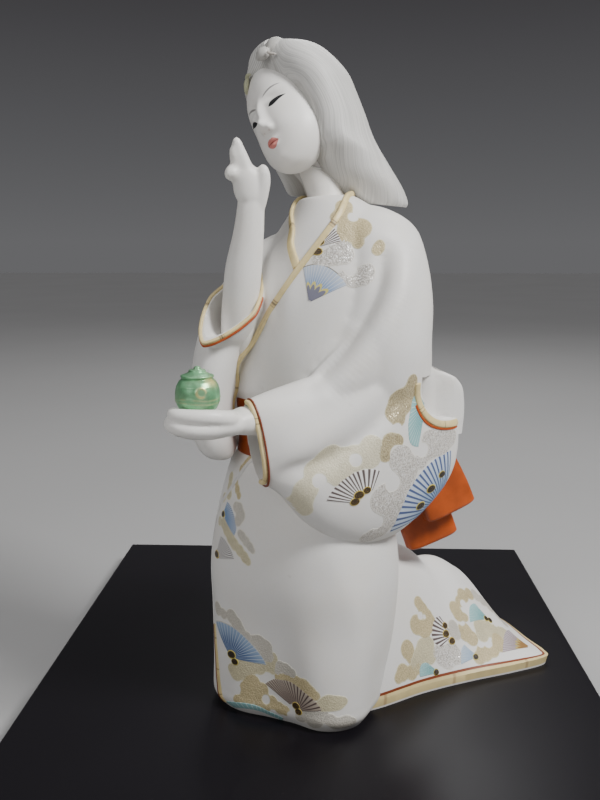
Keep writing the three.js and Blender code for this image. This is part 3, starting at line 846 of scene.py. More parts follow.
def border_paint(name, base, marks=()):
    """Cream border with faint woven marks, each given by its place and its reach along the border."""
    coat = Finish(name)
    u, _ = coat.uv()
    worn = coat.noise(120, 4)
    shade = coat.mix(worn.ramp(0.3, 0.75), base, tone(base, 0.84))
    shade = coat.mix(coat.noise(520, 2).ramp(0.5, 0.75) * 0.4, shade, tone(base, 1.22))
    for place, reach in marks:
        near = (u - place).size()
        bars = ((u - place) * (9.0 / reach)).sine().ramp(-0.1, 0.5) * 0.7 + 0.3
        shade = coat.mix(near.within(reach * 0.7, reach) * bars * 0.75, shade, (0.22, 0.13, 0.07))
        shade = coat.mix(near.within(reach * 0.1, reach * 0.25) * 0.6, shade, (0.05, 0.045, 0.04))
    return coat.done(shade, 0.42, coat.bump(worn, 0.4, 0.05))


def plain_paint(name, base, roughness=0.4, variation=0.12):
    coat = Finish(name)
    worn = coat.noise(90, 4)
    shade = coat.mix(worn.ramp(0.3, 0.7), base, tone(base, 1 - variation))
    return coat.done(shade, roughness + (worn - 0.5) * 0.1, coat.bump(coat.noise(1400, 2), 0.3, 0.03))


def glitter_paint(name, base, outline, glint_colour, strength, metal):
    """Raised paste with metal flakes and a brushed outline."""
    coat = Finish(name)
    grains = coat.noise(1500, 2, roughness=0.7)
    # Painted glints: random specks painted in the light glint colour, a painted highlight for light caught by
    # the metal flakes.
    painted_glints = grains.ramp(0.54, 0.62) * strength
    pits = grains.within(0.40, 0.48) * strength
    shade = coat.mix(coat.noise(150, 3).ramp(0.3, 0.75) * 0.5, base, tone(base, 0.8))
    shade = coat.mix(pits * 0.5, shade, tone(base, 0.35))
    shade = coat.mix(painted_glints, shade, glint_colour)
    edge = coat.attribute("edge").within(0.30, 0.60)
    shade = coat.mix(edge * 0.9, shade, outline)
    height = grains * (1 - edge) * 1.6 + edge + coat.cells(1300) * 0.3
    return coat.done(shade, 0.40 - painted_glints * 0.16, coat.bump(height, 0.9, 0.22), painted_glints * metal * (1 - edge))


def fan_paint(name, ribs, ground, leaf, rib, count, rim=None, inner_mark=None):
    """Folding fan: ribs run out from the pivot over a leaf that deepens inwards."""
    coat = Finish(name)
    around, outward = coat.uv()
    rib_line = (((around * count).rest() - 0.5).size() - ribs).within(-0.03, 0.06)
    pleats = (around * count * TURN).sine() * 0.5 + 0.5
    shade = coat.mix(outward.ramp(0.35, 0.95), leaf, ground)
    shade = coat.mix(pleats * 0.25, shade, tone(leaf, 1.5))
    if inner_mark:
        waved = outward - (around * math.pi * 4).sine().size() * 0.14
        yellow = waved.band(0.33, 0.41, 0.02)
        grey = waved.within(0.32, 0.34)
        shade = coat.mix(grey, shade, inner_mark[0])
        shade = coat.mix(yellow, shade, inner_mark[1])
        rib_line = rib_line * (1 - grey) * (1 - yellow)
    shade = coat.mix(rib_line * 0.92, shade, rib)
    if rim:
        shade = coat.mix(outward.ramp(0.965, 0.985), shade, rim)
    height = rib_line * 0.8 + pleats * 0.2 + coat.noise(700, 3) * 0.3
    return coat.done(shade, 0.46, coat.bump(height, 0.5, 0.10))


def burner_paint(name, base):
    """Pearly green paint with gold rubbed on the high places."""
    coat = Finish(name)
    mottled = coat.noise(160, 5, roughness=0.6)
    gold = coat.attribute("gold") * coat.noise(300, 3).ramp(0.36, 0.58)
    shade = coat.mix(mottled.ramp(0.3, 0.75), tone(base, 0.72), tone(base, 1.55))
    shade = coat.mix(coat.noise(90, 2).ramp(0.45, 0.7) * 0.35, shade, (0.40, 0.58, 0.36))
    shade = coat.mix(coat.attribute("height").ramp(0.1, 1.0) * 0.35, shade, (0.46, 0.62, 0.34))
    shade = coat.mix(gold, shade, (0.86, 0.74, 0.30))
    rough = 0.30 + mottled * 0.12
    return coat.done(shade, rough, coat.bump(coat.noise(700, 4), 0.5, 0.10), 0.45 + gold * 0.3)


def lacquer_paint(name, base):
    """Satin black lacquer with faint polish marks and dust."""
    coat = Finish(name)
    haze = coat.noise(14, 4)
    shade = coat.mix(coat.noise(900, 2).ramp(0.74, 0.80) * 0.25, base, (0.10, 0.095, 0.09))
    return coat.done(shade, 0.28 + haze * 0.14, coat.bump(coat.noise(500, 3), 0.15, 0.02), specular=0.2)


def floor_paint(name):
    coat = Finish(name)
    shade = coat.mix(coat.noise(3, 4).ramp(0.3, 0.7) * 0.5, (0.40, 0.396, 0.392), (0.37, 0.366, 0.362))
    return coat.done(shade, 0.8, coat.bump(coat.noise(180, 3), 0.2, 0.2))


# Pieces of the figure
def body_part(low, high, sides, rings, lift=0.0, ends=(0, 0)):
    """The robe's body between two heights."""
    keys = []
    for i in range(BODY_ROWS + 1):
        t = body_share(low + (high - low) * i / BODY_ROWS)
        keys.append([through(BODY, column, t) for column in range(8)])

    def relief(t, angle, point):
        return body_relief(t, angle, point) + lift

    return loft(keys, (0, -1, 0), (0, 0, 1), sides, rings, ends, relief=relief)


def limb(rows, sides=28, rings=26, ends=(0.12, 0.2), toward=(0.2, -1, 0.1)):
    """A round form through rows of x, y, z, half width and, where it isn't round, half depth."""
    return loft([(*row[:4], row[-1]) for row in rows], toward, None, sides, rings, ends)


# The skins of finished pieces, in the figure's millimetres, for laying patterns on
SURFACES = {}


def keep_surface(name, made):
    skin = bmesh.new()
    skin.from_mesh(made.data)
    for vertex in skin.verts:
        vertex.co = millimetres(vertex.co)
    SURFACES[name] = BVHTree.FromBMesh(skin)
    skin.free()


def build_skirt():
    paint = matt_paint("robe_white", paints().robe, 0.035)
    keep_surface("skirt", piece("robe_skirt", body_part(0, 124, 204, 140), paint))


# Each fold: its course in x and z on the front, height, width, and how far to its right it lies
LONG_COURSE = [(35.5, 212), (34.8, 204.5), (32.3, 194.4), (26, 182.2), (17.2, 169.6), (7, 158)]
FOLDS = [
    (LONG_COURSE, -3.1, 3.9, 0),
    (LONG_COURSE, 2.6, 6.2, 9),
    ([(-11.5, 212), (-12.4, 205), (-13.3, 197.3), (-12.8, 189), (-11.4, 180)], 0.9, 2.6, 0),
    ([(-18, 204), (-19, 196), (-18.6, 187), (-17, 178)], -0.9, 3.2, 0),
]
COURSE_STEPS = 40


def press_folds(made):
    """Moves the front of the fused robe along its normals by the folds."""
    last = COURSE_STEPS
    courses = []
    for course, *rest in FOLDS:
        courses.append(([Vector(through_pair(course, i / last)) for i in range(last + 1)], *rest))
    moves = []
    for vertex in made.data.vertices:
        p = millimetres(vertex.co)
        facing = step(0.15, 0.6, -vertex.normal.y) * step(142, 160, p.z) * step(219, 211, p.z)
        if not facing:
            continue
        spot = Vector((p.x, p.z))
        move = 0.0
        for points, height, width, right in courses:
            i = min(range(last + 1), key=lambda n: (points[n] - spot).length_squared)
            tangent = (points[min(i + 1, last)] - points[max(i - 1, 0)]).normalized()
            way = spot - points[i]
            side = tangent.x * way.y - tangent.y * way.x
            fade = math.sin(math.pi * clamp(i / last, 0.04, 0.96)) ** 0.5
            beyond = abs(tangent.dot(way))
            move += height * bell(side - right, width) * fade * bell(beyond, 4)
        moves.append((vertex, vertex.normal.copy(), move * facing))
    for vertex, normal, move in moves:
        vertex.co += normal * (move * SCALE / 1000)


def build_upper_robe():
    """The chest, both sleeves and the upper arms as one softened skin, with their openings cut into it."""
    white = matt_paint("robe_white", paints().robe, 0.035)
    lining = matt_paint("lining", tone(paints().robe, 0.96))
    pouch = loft(POUCH_KEYS, SLEEVE_OUT, SLEEVE_ALONG, 130, 110, (0, 0.14), relief=pouch_relief)
    parts = [
        body_part(119, 233, 150, 120, 0, (0.03, 0)),
        without(pouch, back_opening()),
        loft(UPPER_ARM, SLEEVE_OUT, (0, 0, 1), 110, 90, (0.2, 0.2)),
        limb(FOREARM, 80, 80),
        loft(RIGHT_SLEEVE, axis=(0, 0, 1), sides=110, rings=100, ends=(0.1, 0.1)),
        loft(CUFF, CUFF_LOW, CUFF_AXIS, 110, 40),
    ]
    made = piece("robe_upper", merged(parts), white)
    remesh(made, 0.9, 14)
    press_folds(made)
    keep_surface("upper", made)
    cut(made, loft(POUCH_MOUTH, SLEEVE_OUT, SLEEVE_ALONG, 96, 40), lining)
    cut(made, loft(CUFF_HOLE, CUFF_LOW, CUFF_AXIS, 96, 30), lining)
    opening = back_opening()
    low_part = {"plane_co": (0, 0, 158), "plane_no": (0, 0, 1), "clear_outer": True}
    bmesh.ops.bisect_plane(opening, geom=opening.verts[:] + opening.edges[:] + opening.faces[:], **low_part)
    bmesh.ops.holes_fill(opening, edges=[edge for edge in opening.edges if edge.is_boundary])
    face_out(opening)
    cut(made, opening, lining)
    smooth(made.data, 38)


# The opening at the back edge of the left sleeve, as a rounded U in distance along the sleeve and height
OPENING = (92.5, 163.0, 24.4)
OPENING_SQUARENESS = 3.2


def back_opening():
    along, z, radius = OPENING
    square = OPENING_SQUARENESS
    keys = [(*pouch_place(along, out, z), radius, radius, 0, square) for out in (-30, -10, 10, 30)]
    return loft(keys, (0, 0, 1), SLEEVE_OUT, 120, 12)


def crease(t, angle, point):
    """Two soft folds down the front of the under sleeve."""
    front = step(0.3, 0.8, math.cos(angle))
    along = (point - SLEEVE_WRIST).dot(SLEEVE_ALONG)
    return front * (1.4 * bell(along - 86.5, 2.4) - 1.2 * bell(along - 79.5, 3.0)) * (1 - step(0.9, 1, t))


# Each row: height, distance from the wrist, half width, half thickness and lean.
UNDER_SLEEVE = [
    (130, 83.5, 13.4, 7.4, 0), (140, 83.8, 13.6, 8.0, -4), (149, 83.4, 13.2, 8.6, -9),
    (154, 82.8, 12.8, 8.8, -14), (157.8, 81.8, 12.4, 8.6, -21), (159.8, 81.2, 11.6, 7.8, -24),
]


def build_under_sleeve():
    keys = []
    for z, along, half, thick, lean in UNDER_SLEEVE:
        keys.append((*pouch_place(along, 1.2, z), half, thick, 0, 4.6, lean))
    bm = loft(keys, SLEEVE_OUT, (0, 0, 1), 110, 90, (0, 0.03), relief=crease)
    piece("left_under_sleeve", bm, matt_paint("under_white", tone(paints().robe, 1.02)), 50)


def train_surface(row, rows, around):
    """Where a vertex of the train lies: rows run out to the hem and then in again along the board."""
    bottom = rows - 1
    edge = 1 - (1 - min(row / (bottom - 1), 1)) ** 1.4
    reach = 0.0 if row in (0, rows) else edge * (0.985 if row == bottom else 1)
    point = Vector((*TRAIN_CENTRE, 0)).lerp(outline_point(around), reach)
    height = 0.0 if row >= bottom else train_height(point.x, point.y, edge)
    return Vector((point.x, point.y, height))


def build_train():
    sides, rows = 220, 110
    bm, spots, (hem, up, along) = sphere(sides, rows, ("hem", "up", "along"))
    for vertex, (row, column) in spots.items():
        around = column / sides
        vertex.co = train_surface(row, rows, around)
        tangent = (outline_point(around + 0.003) - outline_point(around - 0.003)).normalized()
        inwards = abs((Vector((vertex.co.x, vertex.co.y, 0)) - outline_point(around)).cross(tangent).z)
        vertex[hem] = math.hypot(inwards, max(0, vertex.co.z - TRAIN_HEM))
        vertex[up] = vertex.co.z
        vertex[along] = (vertex.co.x - 34) * 0.9 + (vertex.co.y + 17) * 0.43
    face_out(bm)
    keep_surface("train", piece("robe_train", bm, train_paint()))


def build_right_hand():
    parts = [
        limb([(-27.6, -4, 160, 8.0), (-26, -14, 176, 7.9), (-24.6, -18.4, 190, 7.8), (-22.8, -21, 203, 7.7),
              (-20.4, -23.5, 217, 6.4), (-19.2, -25, 228, 5.7, 5.4), (-19.2, -26.2, 235, 6.1, 5.1)], 48, 60),
        limb([(-19.2, -25.5, 229, 5.4, 5), (-19.5, -26.4, 235, 6.7, 4.8), (-20.8, -27.4, 240, 5.8, 4.5),
              (-22.4, -28.4, 245, 3.8, 3.8)], 40, 30, (0.2, 0.3)),
        limb([(-19.2, -27.6, 238, 3.4), (-21.6, -28.8, 245, 3.0), (-23.4, -29.8, 250.4, 2.4),
              (-24.6, -30.6, 255.0, 1.7)]),
        limb([(-22.4, -27.4, 240, 3.2), (-23.9, -28.8, 244.6, 2.9), (-24.9, -29.8, 248.6, 2.4),
              (-25.2, -30.4, 252.0, 1.7)]),
        limb([(-21.6, -26.6, 239, 4.4), (-24.8, -28.4, 241, 4.0), (-26.2, -30.4, 240.6, 3.2),
              (-25.8, -32, 238.8, 2.4)]),
        limb([(-17.0, -25, 227, 3.6), (-14.9, -26.4, 233.4, 3.3), (-13.6, -27.6, 239.3, 2.9),
              (-14.1, -28.6, 244.6, 2.0)]),
    ]
    remesh(piece("right_arm", merged(parts), skin_paint("hand_skin")), 0.5, 28)


PALM = (-37.2, -60, 149.4)


def build_left_hand():
    up = (0, 0, 1)
    parts = [
        limb([(2, -42, 142, 6.6), (-8, -47, 143, 6.2, 6.4), (-17, -52, 144.0, 6.2, 5.9),
              (-25, -56, 144.2, 7.2, 5.2)], 48, 40, toward=up),
        limb([(-18, -53, 144.2, 6, 5), (-26, -57, 143.8, 8.2, 5), (-34, -60.4, 143.2, 9.8, 5),
              (-41, -62.4, 143.8, 9.6, 4.8), (-46.2, -63.2, 145.4, 7.6, 4.2), (-49, -63.2, 147.4, 4.6, 3)],
             56, 48, (0.2, 0.25), up),
        limb([(-22, -60.5, 146.0, 3.2), (-29, -66.6, 148, 3.1), (-36, -69.4, 148.8, 2.8),
              (-43, -69, 149.2, 2.6), (-47.6, -66, 149.4, 2.2)]),
        limb([(-30, -52, 145.0, 2.8), (-38, -53.5, 146.2, 2.8), (-45, -56.5, 147.4, 2.6),
              (-48.6, -60.5, 148.6, 2.2)]),
    ]
    remesh(piece("left_arm", merged(parts), skin_paint("hand_skin")), 0.5, 12)


def head_form(sides, rings):
    return loft(HEAD, (0, -1, 0), (0, 0, -1), sides, rings, (0.04, 0.04), 0.5, face_relief)


def build_head():
    bm = head_form(200, 184)
    face = bm.loops.layers.uv.new("face")
    front = bm.verts.layers.float.new("front")
    for vertex in bm.verts:
        vertex[front] = step(2, 6, -vertex.co.y)
    for polygon in bm.faces:
        for loop in polygon.loops:
            loop[face].uv = [(loop.vert.co[n] + FACE_VIEW / 2) / FACE_VIEW for n in (0, 2)]
    middle = HEAD_POSE.to_translation()
    turn = Matrix.Translation(middle) @ Matrix.Rotation(FACE_TURN, 4, "Z") @ Matrix.Translation(-middle)
    bmesh.ops.transform(bm, matrix=turn @ HEAD_POSE, verts=bm.verts)
    piece("head", bm, face_paint("face_paint", paints().skin, paints().lips), 80)
    rows = [(12, 3, 222, 12), (11.4, 2.4, 232, 8.4), (9, 2.4, 240, 7.6), (4, 3, 252, 7.6)]
    piece("neck", limb(rows, 60, 50, (0.05, 0.2)), skin_paint("neck_skin"), 80)


# Each row: height on the face and how far forward the hairline runs there.
HAIRLINE = [
    (-60, -9), (-45, -6.5), (-35, -4.2), (-26, -1.2), (-19.2, 1.6), (-15.8, 3.2), (-10.9, 4.4), (-5.2, 5.5),
    (0.2, 6.7), (5.2, 8.1), (9.7, 9.3), (14.3, 10.2), (17.8, 10.5), (20, 10.3), (26, 9),
]


def hairline_forward(z):
    for (z0, f0), (z1, f1) in zip(HAIRLINE, HAIRLINE[1:]):
        if z <= z1:
            return f0 + (f1 - f0) * clamp((z - z0) / (z1 - z0), 0, 1)
    return HAIRLINE[-1][1]


def head_section(t):
    return Section(HAIR, t, (0, -1, 0), (0, 0, 1))


def forelock(skin, distance, soft):
    """1 on the lock above the forehead, left of its slanted seam and near the hairline."""
    seam = 4.6 + (skin.z - 19) * 0.8
    return step(seam + soft, seam - soft, skin.x) * step(-13, -9, skin.x) * step(15, 1, distance)


class Scalp:
    """Where the hair stops: places on the skull or the neck under the hair, and their way to the hairline."""

    def __init__(self):
        skull = head_form(96, 84)
        self.tree = BVHTree.FromBMesh(skull)
        skull.free()
        self.inverse = HEAD_POSE.inverted()
        self.neck_base = self.inverse @ Vector((12, 3, 222))

    def under(self, p):
        """Centre, direction, the hair's reach, the skin's radius, distance from the hairline, its place."""
        q = self.inverse @ p
        share = clamp(q.dot(self.neck_base) / self.neck_base.length_squared, 0, 1)
        centre = self.neck_base * share
        ray = q - centre
        reach = max(ray.length, 1e-6)
        ray = ray / reach
        inner = NECK_RADIUS
        hit = self.tree.ray_cast(centre, ray)
        if hit[0] is not None:
            inner = max(inner, hit[3])
        skin = centre + ray * max(inner, min(reach, 15.0))
        return centre, ray, reach, inner, hairline_forward(skin.z) + skin.y, skin

    def place(self, p):
        """Moves a place on the hair's outline so that the hair rolls in to the skin at the hairline."""
        centre, ray, reach, inner, distance, skin = self.under(p)
        width = 5.5 + 8 * step(-18, -32, skin.z)
        roll = math.sqrt(1 - (1 - clamp(distance / width, 0, 1)) ** 2)
        dip = -1.6 * step(0.4, -1.0, distance)
        radius = min(reach, inner) + max(0.0, reach - inner) * roll + dip
        if skin.z > 8:
            radius += 1.7 * forelock(skin, distance, 0.7) * step(0.2, 2.5, distance)
        return HEAD_POSE @ (centre + ray * radius)


def hair_edges(scalp, rows):
    """For each row, the angles of the two hairline crossings, softened along the rows."""
    edges = []
    for row in range(rows + 1):
        section = head_section(eased(row / rows, (1, 0)))
        found = []
        for i in range(HAIR_LOOKS):
            angle = TURN * i / HAIR_LOOKS - math.pi
            found.append((scalp.under(section.point(angle))[4], angle))
        least = min(found)
        if least[0] >= 0:
            edges.append([least[1] + 0.02, least[1] - 0.02])
            continue
        middle = found.index(least)
        limits = []
        for way in (1, -1):
            i = middle
            while found[(i + way) % HAIR_LOOKS][0] < 0 and abs(i - middle) < HAIR_LOOKS * 3 // 4:
                i += way
            inside, outside = found[i % HAIR_LOOKS][0], found[(i + way) % HAIR_LOOKS][0]
            share = inside / (inside - outside)
            limits.append(least[1] + (i - middle + way * share) * TURN / HAIR_LOOKS)
        edges.append(limits)
    for _ in range(3):
        old = [list(edge) for edge in edges]
        for i in range(rows + 1):
            near = old[max(0, i - 12) : i + 13]
            edges[i] = [sum(edge[side] for edge in near) / len(near) for side in (0, 1)]
    return edges


def build_hair():
    """Hair combed back: its columns follow the hairline, and its skin dips under the face there."""
    sides, rows = 312, 236
    scalp = Scalp()
    edges = hair_edges(scalp, rows)
    bm, spots, (fore, comb) = sphere(sides, rows, ("fore", "comb"))
    shares = {}
    for vertex, (row, column) in spots.items():
        t = eased(min(row, rows - 1) / (rows - 1), (1, 0))
        near, far = edges[row]
        w = column / sides
        if w <= HAIR_OWN:
            s = w / HAIR_OWN
            s -= 0.6 * math.sin(TURN * s) / TURN
            angle = near + (far + TURN - near) * s
        else:
            gap = (w - HAIR_OWN) / (1 - HAIR_OWN)
            angle = far + (near - far) * gap
            s = 1 - gap
        section = head_section(t)
        point = section.point(angle, 0.0 if row in (0, rows) else rounded(t, 0.08))
        *_, distance, skin = scalp.under(point)
        vertex[fore] = forelock(skin, distance, 0.5) * step(8, 10, skin.z)
        vertex[comb] = skin.x
        vertex.co = scalp.place(point) if row < rows else section.centre
        shares[vertex] = (s, t)
    wrap(bm, shares)
    face_out(bm)
    grey = hair_paint("hair_paint", paints().hair)
    piece("hair", bm, grey, 70)
    knots = [
        limb([(-13.0, -6.5, 292.0, 2.6), (-10.6, -3.4, 294.2, 4.1), (-8.0, 0.6, 294.0, 3.8),
              (-5.5, 4, 291.4, 2.2)], 48, 40, (0.4, 0.4)),
        limb([(-17.6, -7.0, 288.2, 1.4), (-15.4, -7.6, 290.8, 2.5), (-13, -6.4, 292.2, 2.2)],
             36, 30, (0.35, 0.35)),
    ]
    remesh(piece("hair_knot", merged(knots), grey, 80), 0.3, 5)
    rod = limb([(-13.4, -10.6, 291.0, 0.5), (-11.4, -10.2, 290.4, 0.6), (-9.6, -10, 290.2, 0.5)], 12, 20)
    piece("hair_pin", rod, plain_paint("pin_paint", (0.40, 0.37, 0.33)), 80)
    ornament = [
        limb([(-22.2, 0.8, 283.2, 0.4), (-23.0, 1.1, 281.0, 1.0), (-23.2, 1.3, 278.4, 1.0),
              (-23.0, 1.3, 275.8, 0.5)], 24, 20),
        limb([(-21.0, -0.6, 284.0, 0.4), (-22.4, 0.2, 283.6, 0.8), (-23.2, 1.6, 282.4, 0.6)], 20, 16),
    ]
    piece("hair_ornament", merged(ornament), plain_paint("ornament_paint", (0.50, 0.50, 0.33), 0.4, 0.2), 80)


def softened(points, rounds, parts=1):
    """Points along a course, each moved towards its neighbours a few times."""
    last = len(points) - 1
    for _ in range(rounds):
        points = [
            tuple(points[max(i - 1, 0)][n] * 0.25 + points[i][n] * 0.5 + points[min(i + 1, last)][n] * 0.25
                  for n in range(parts)) + tuple(points[i][parts:])
            for i in range(last + 1)
        ]
    return points


def course_path(spots, lift, aside=0.0):
    """The path of a band through spots on a surface, each a point and its way out."""
    last = len(spots) - 1

    def path(t):
        x = clamp(t, 0, 1) * last
        i = min(int(x), last - 1)
        point, way = [spots[i][n].lerp(spots[i + 1][n], x - i) for n in (0, 1)]
        along = (spots[min(i + 2, last)][0] - spots[max(i - 1, 0)][0]).normalized()
        out = (way - along * way.dot(along)).normalized()
        across = along.cross(out)
        return point + out * lift + across * aside, across, out

    return path


def body_path(rows, lift):
    """The path of a collar, laid on the upper robe through rows of height and degrees around the body."""
    spots = []
    for i in range(COLLAR_SPOTS + 1):
        z, degrees = through_pair(rows, i / COLLAR_SPOTS)
        low, high = on_body(z, degrees, 0), on_body(z, degrees, 1)
        way = (high - low).normalized()
        hit = SURFACES["upper"].ray_cast(low + way * 5, -way, 7)
        spots.append((hit[0] if hit[0] is not None else low, way))
    return course_path(softened(spots, 4), lift)


# Each row: height and degrees around the body.
LEFT_COLLAR = [
    (234, 160), (234, 110), (230, 58), (219, 32), (205, 13), (190, 0), (172, -12.5), (158, -24),
    (148, -31), (139, -33),
]
RIGHT_COLLAR = [(234, -160), (234, -110), (231, -58), (222, -18), (213, -5), (202, 9)]


def build_collars():
    width = sizes().band
    marked = border_paint("collar_paint", paints().trim, [(0.335, 0.012), (0.565, 0.010), (0.86, 0.008)])
    left = tube_band(body_path(LEFT_COLLAR, 0.3), width, COLLAR_THICKNESS, False, 260, 24, 0.55)
    piece("collar_left", left, marked, 60)
    marked = border_paint("collar_paint_right", paints().trim, [(0.62, 0.018)])
    right = tube_band(body_path(RIGHT_COLLAR, 0.2), width + 0.3, COLLAR_THICKNESS, False, 200, 24)
    piece("collar_right", right, marked, 60)


# The folded ends of the sash and its knot, and the direction each faces
SASH_ENDS = {
    "sash_upper_end": ([
        (32, 24, 126, 12, 7, 0, 4), (46, 15, 124, 12, 5, 0, 4), (58, 9, 114, 12.5, 4.2, 0, 4.4),
        (66, 8, 100, 12.8, 4, 0, 4.6), (71, 8, 88, 12.8, 4, 0, 5),
    ], (0.36, -0.93, 0)),
    "sash_lower_end": ([
        (32, 26, 116, 12, 7, 0, 4), (46, 21, 104, 12.5, 5, 0, 4), (57, 18, 88, 13, 4.5, 0, 4.4),
        (64, 17, 70, 13, 4.5, 0, 5),
    ], (0.3, -0.95, 0)),
    "sash_back_end": ([
        (34, 26, 128, 12, 7, 0, 4), (16, 44, 122, 13, 5, 0, 4), (10, 54, 106, 14, 4.2, 0, 4.4),
        (8, 60, 88, 14, 4, 0, 5),
    ], (-0.9, -0.3, 0)),
    "sash_knot": ([
        (14, 12, 132, 14, 12, 0, 3), (26, 22, 130, 14, 12, 0, 3.4), (34, 30, 127, 12, 10, 0, 3.4),
    ], (0, 0, 1)),
}


def build_bow():
    orange = plain_paint("sash_paint", paints().sash, 0.4, 0.35)
    for name, (rows, toward) in SASH_ENDS.items():
        piece(name, loft(rows, toward, None, 72, 60, (0.06, 0.06)), orange)


BURNER_RADIUS = 8.7
BURNER_HEIGHT = 17.6
# Each row: share of the burner's radius and of its height.
BURNER_PROFILE = [
    (0, 0), (0.66, 0), (0.72, 0.012), (0.84, 0.06), (0.97, 0.2), (1, 0.34), (0.985, 0.46), (0.93, 0.56),
    (0.83, 0.66), (0.7, 0.725), (0.7, 0.74), (0.735, 0.755), (0.74, 0.775), (0.72, 0.795), (0.66, 0.805),
    (0.5, 0.835), (0.42, 0.86), (0.385, 0.88), (0.375, 0.9), (0.33, 0.915), (0.2, 0.92), (0.17, 0.93),
    (0.15, 0.96), (0.1, 0.985), (0, 0.998),
]


def build_burner():
    def place(row, column):
        radius = max(0.0, through(BURNER_PROFILE, 0, row)) * BURNER_RADIUS
        angle = TURN * column
        height = through(BURNER_PROFILE, 1, row) * BURNER_HEIGHT
        x, y = PALM[0] + radius * math.cos(angle), PALM[1] + radius * math.sin(angle)
        return Vector((x, y, PALM[2] + height))

    bm = shaped_grid(140, 120, place)
    height, gold = [bm.verts.layers.float.new(name) for name in ("height", "gold")]
    for vertex in bm.verts:
        out = Vector((vertex.co.x - PALM[0], vertex.co.y - PALM[1], 0))
        up = (vertex.co.z - PALM[2]) / BURNER_HEIGHT
        angle = math.atan2(out.y, out.x)
        swirl = bell(up - 0.30 - 0.018 * math.sin(angle * 3 + 1), 0.02)
        swirl += bell(up - 0.22 - 0.02 * math.sin(angle * 2), 0.018)
        away = math.hypot(math.sin((angle + 1.25) / 2) * 2, (up - 0.47) * 2)
        boss = bell(away - 0.2, 0.05)
        # Painted highlight: gold on the shoulder only on the side that faces the key light.
        shoulder_highlight = bell(up - 0.68, 0.1) * bell(math.sin((angle + 0.5) / 2), 0.25)
        vertex[height] = clamp(swirl * 0.7 + bell(up - 0.57, 0.02) * 0.4 + boss, 0, 1)
        # The gold layer holds the rubbed gold on the boss and swirls and the shoulder's painted highlight.
        vertex[gold] = clamp(boss * 0.9 + 0.25 * swirl + 0.8 * shoulder_highlight, 0, 1)
        if out.length > 2:
            vertex.co += out.normalized() * (vertex[height] * 0.28)
    green = burner_paint("burner_paint", paints().green)
    piece("incense_burner_turned", bm, green, 50, "incense_burner")


def build_board():
    low, high = BOARD_BOX
    bm = bmesh.new()
    bmesh.ops.create_cube(bm, size=1)
    bmesh.ops.scale(bm, vec=high - low, verts=bm.verts)
    bmesh.ops.translate(bm, vec=(low + high) / 2, verts=bm.verts)
    offset = sizes().bevel / 1000
    bmesh.ops.bevel(bm, geom=bm.edges, offset=offset, segments=4, profile=0.5, affect="EDGES", material=-1)
    lacquer = lacquer_paint("board_lacquer", paints().lacquer)
    piece("board", bm, lacquer, 35, "display_board", False)


# Borders
def ring_band(keys, toward, axis, t, width, thickness, sink=0.0, lift=0.0, span=None):
    """A band around one section of a loft, closed or over a span of shares: width runs along the loft."""
    section = Section(keys, t, toward, axis)

    def path(share):
        angle = TURN * (span[0] + (span[1] - span[0]) * share if span else share)
        point = section.point(angle, 1, lift)
        near = section.point(angle + 0.02, 1, lift) - section.point(angle - 0.02, 1, lift)
        out = near.cross(section.along).normalized()
        if out.dot(point - section.centre) < 0:
            out = -out
        return point + section.along * sink, section.along, out

    return tube_band(path, width, thickness, not span, 200, 16)


def traced_band(surface, points, width, thickness, lift, cast, aside=0.0):
    """A band laid on a surface along points that cast() sends onto it."""
    tree = SURFACES[surface]
    spots = [spot for spot in (cast(tree, *through_pair(points, i / 80)) for i in range(81)) if spot]
    path = course_path(softened(spots, 5, 2), lift, aside)
    return tube_band(path, width, thickness, False, 160, 14)


def through_pair(points, t):
    return through(points, 0, t), through(points, 1, t)


# Patterns: each region sends a pair of measures on its own plan onto the surface
def met(tree, start, way, reach):
    """The point and the normal where a ray meets a surface, or None."""
    hit = tree.ray_cast(start, way, reach)
    return (hit[0], hit[1]) if hit[0] is not None else None


def plane_cast(origin, across, normal):
    origin, across, normal = Vector(origin), Vector(across).normalized(), Vector(normal).normalized()
    up = normal.cross(across).normalized()
    return lambda tree, a, b: met(tree, origin + across * a + up * b + normal * 26, -normal, 60)


def pouch_cast(side):
    """Measures on the left sleeve: a is the distance from the wrist and b the height."""
    return lambda tree, a, b: met(tree, pouch_place(a, 40 * side, b), SLEEVE_OUT * -side, 44)


def round_cast(centre):
    """Measures around an upright axis: a is the angle times a radius of 40 and b the height."""

    def cast(tree, a, b):
        way = Vector((math.sin(a / 40), -math.cos(a / 40), 0))
        return met(tree, Vector((*centre, b)) + way * 90, -way, 90)

    return cast


CHEST = plane_cast((16, -28, 208), (0.985, 0.172, 0), (0.165, -0.943, 0.29))
TRAIN = plane_cast((34, -17, 0), (0.864, 0.503, 0), (0.356, -0.611, 0.707))
SLEEVE_FRONT, SLEEVE_BACK = pouch_cast(1), pouch_cast(-1)
SKIRT = round_cast((2, 0))
RIGHT_SIDE = round_cast((-30, -4))


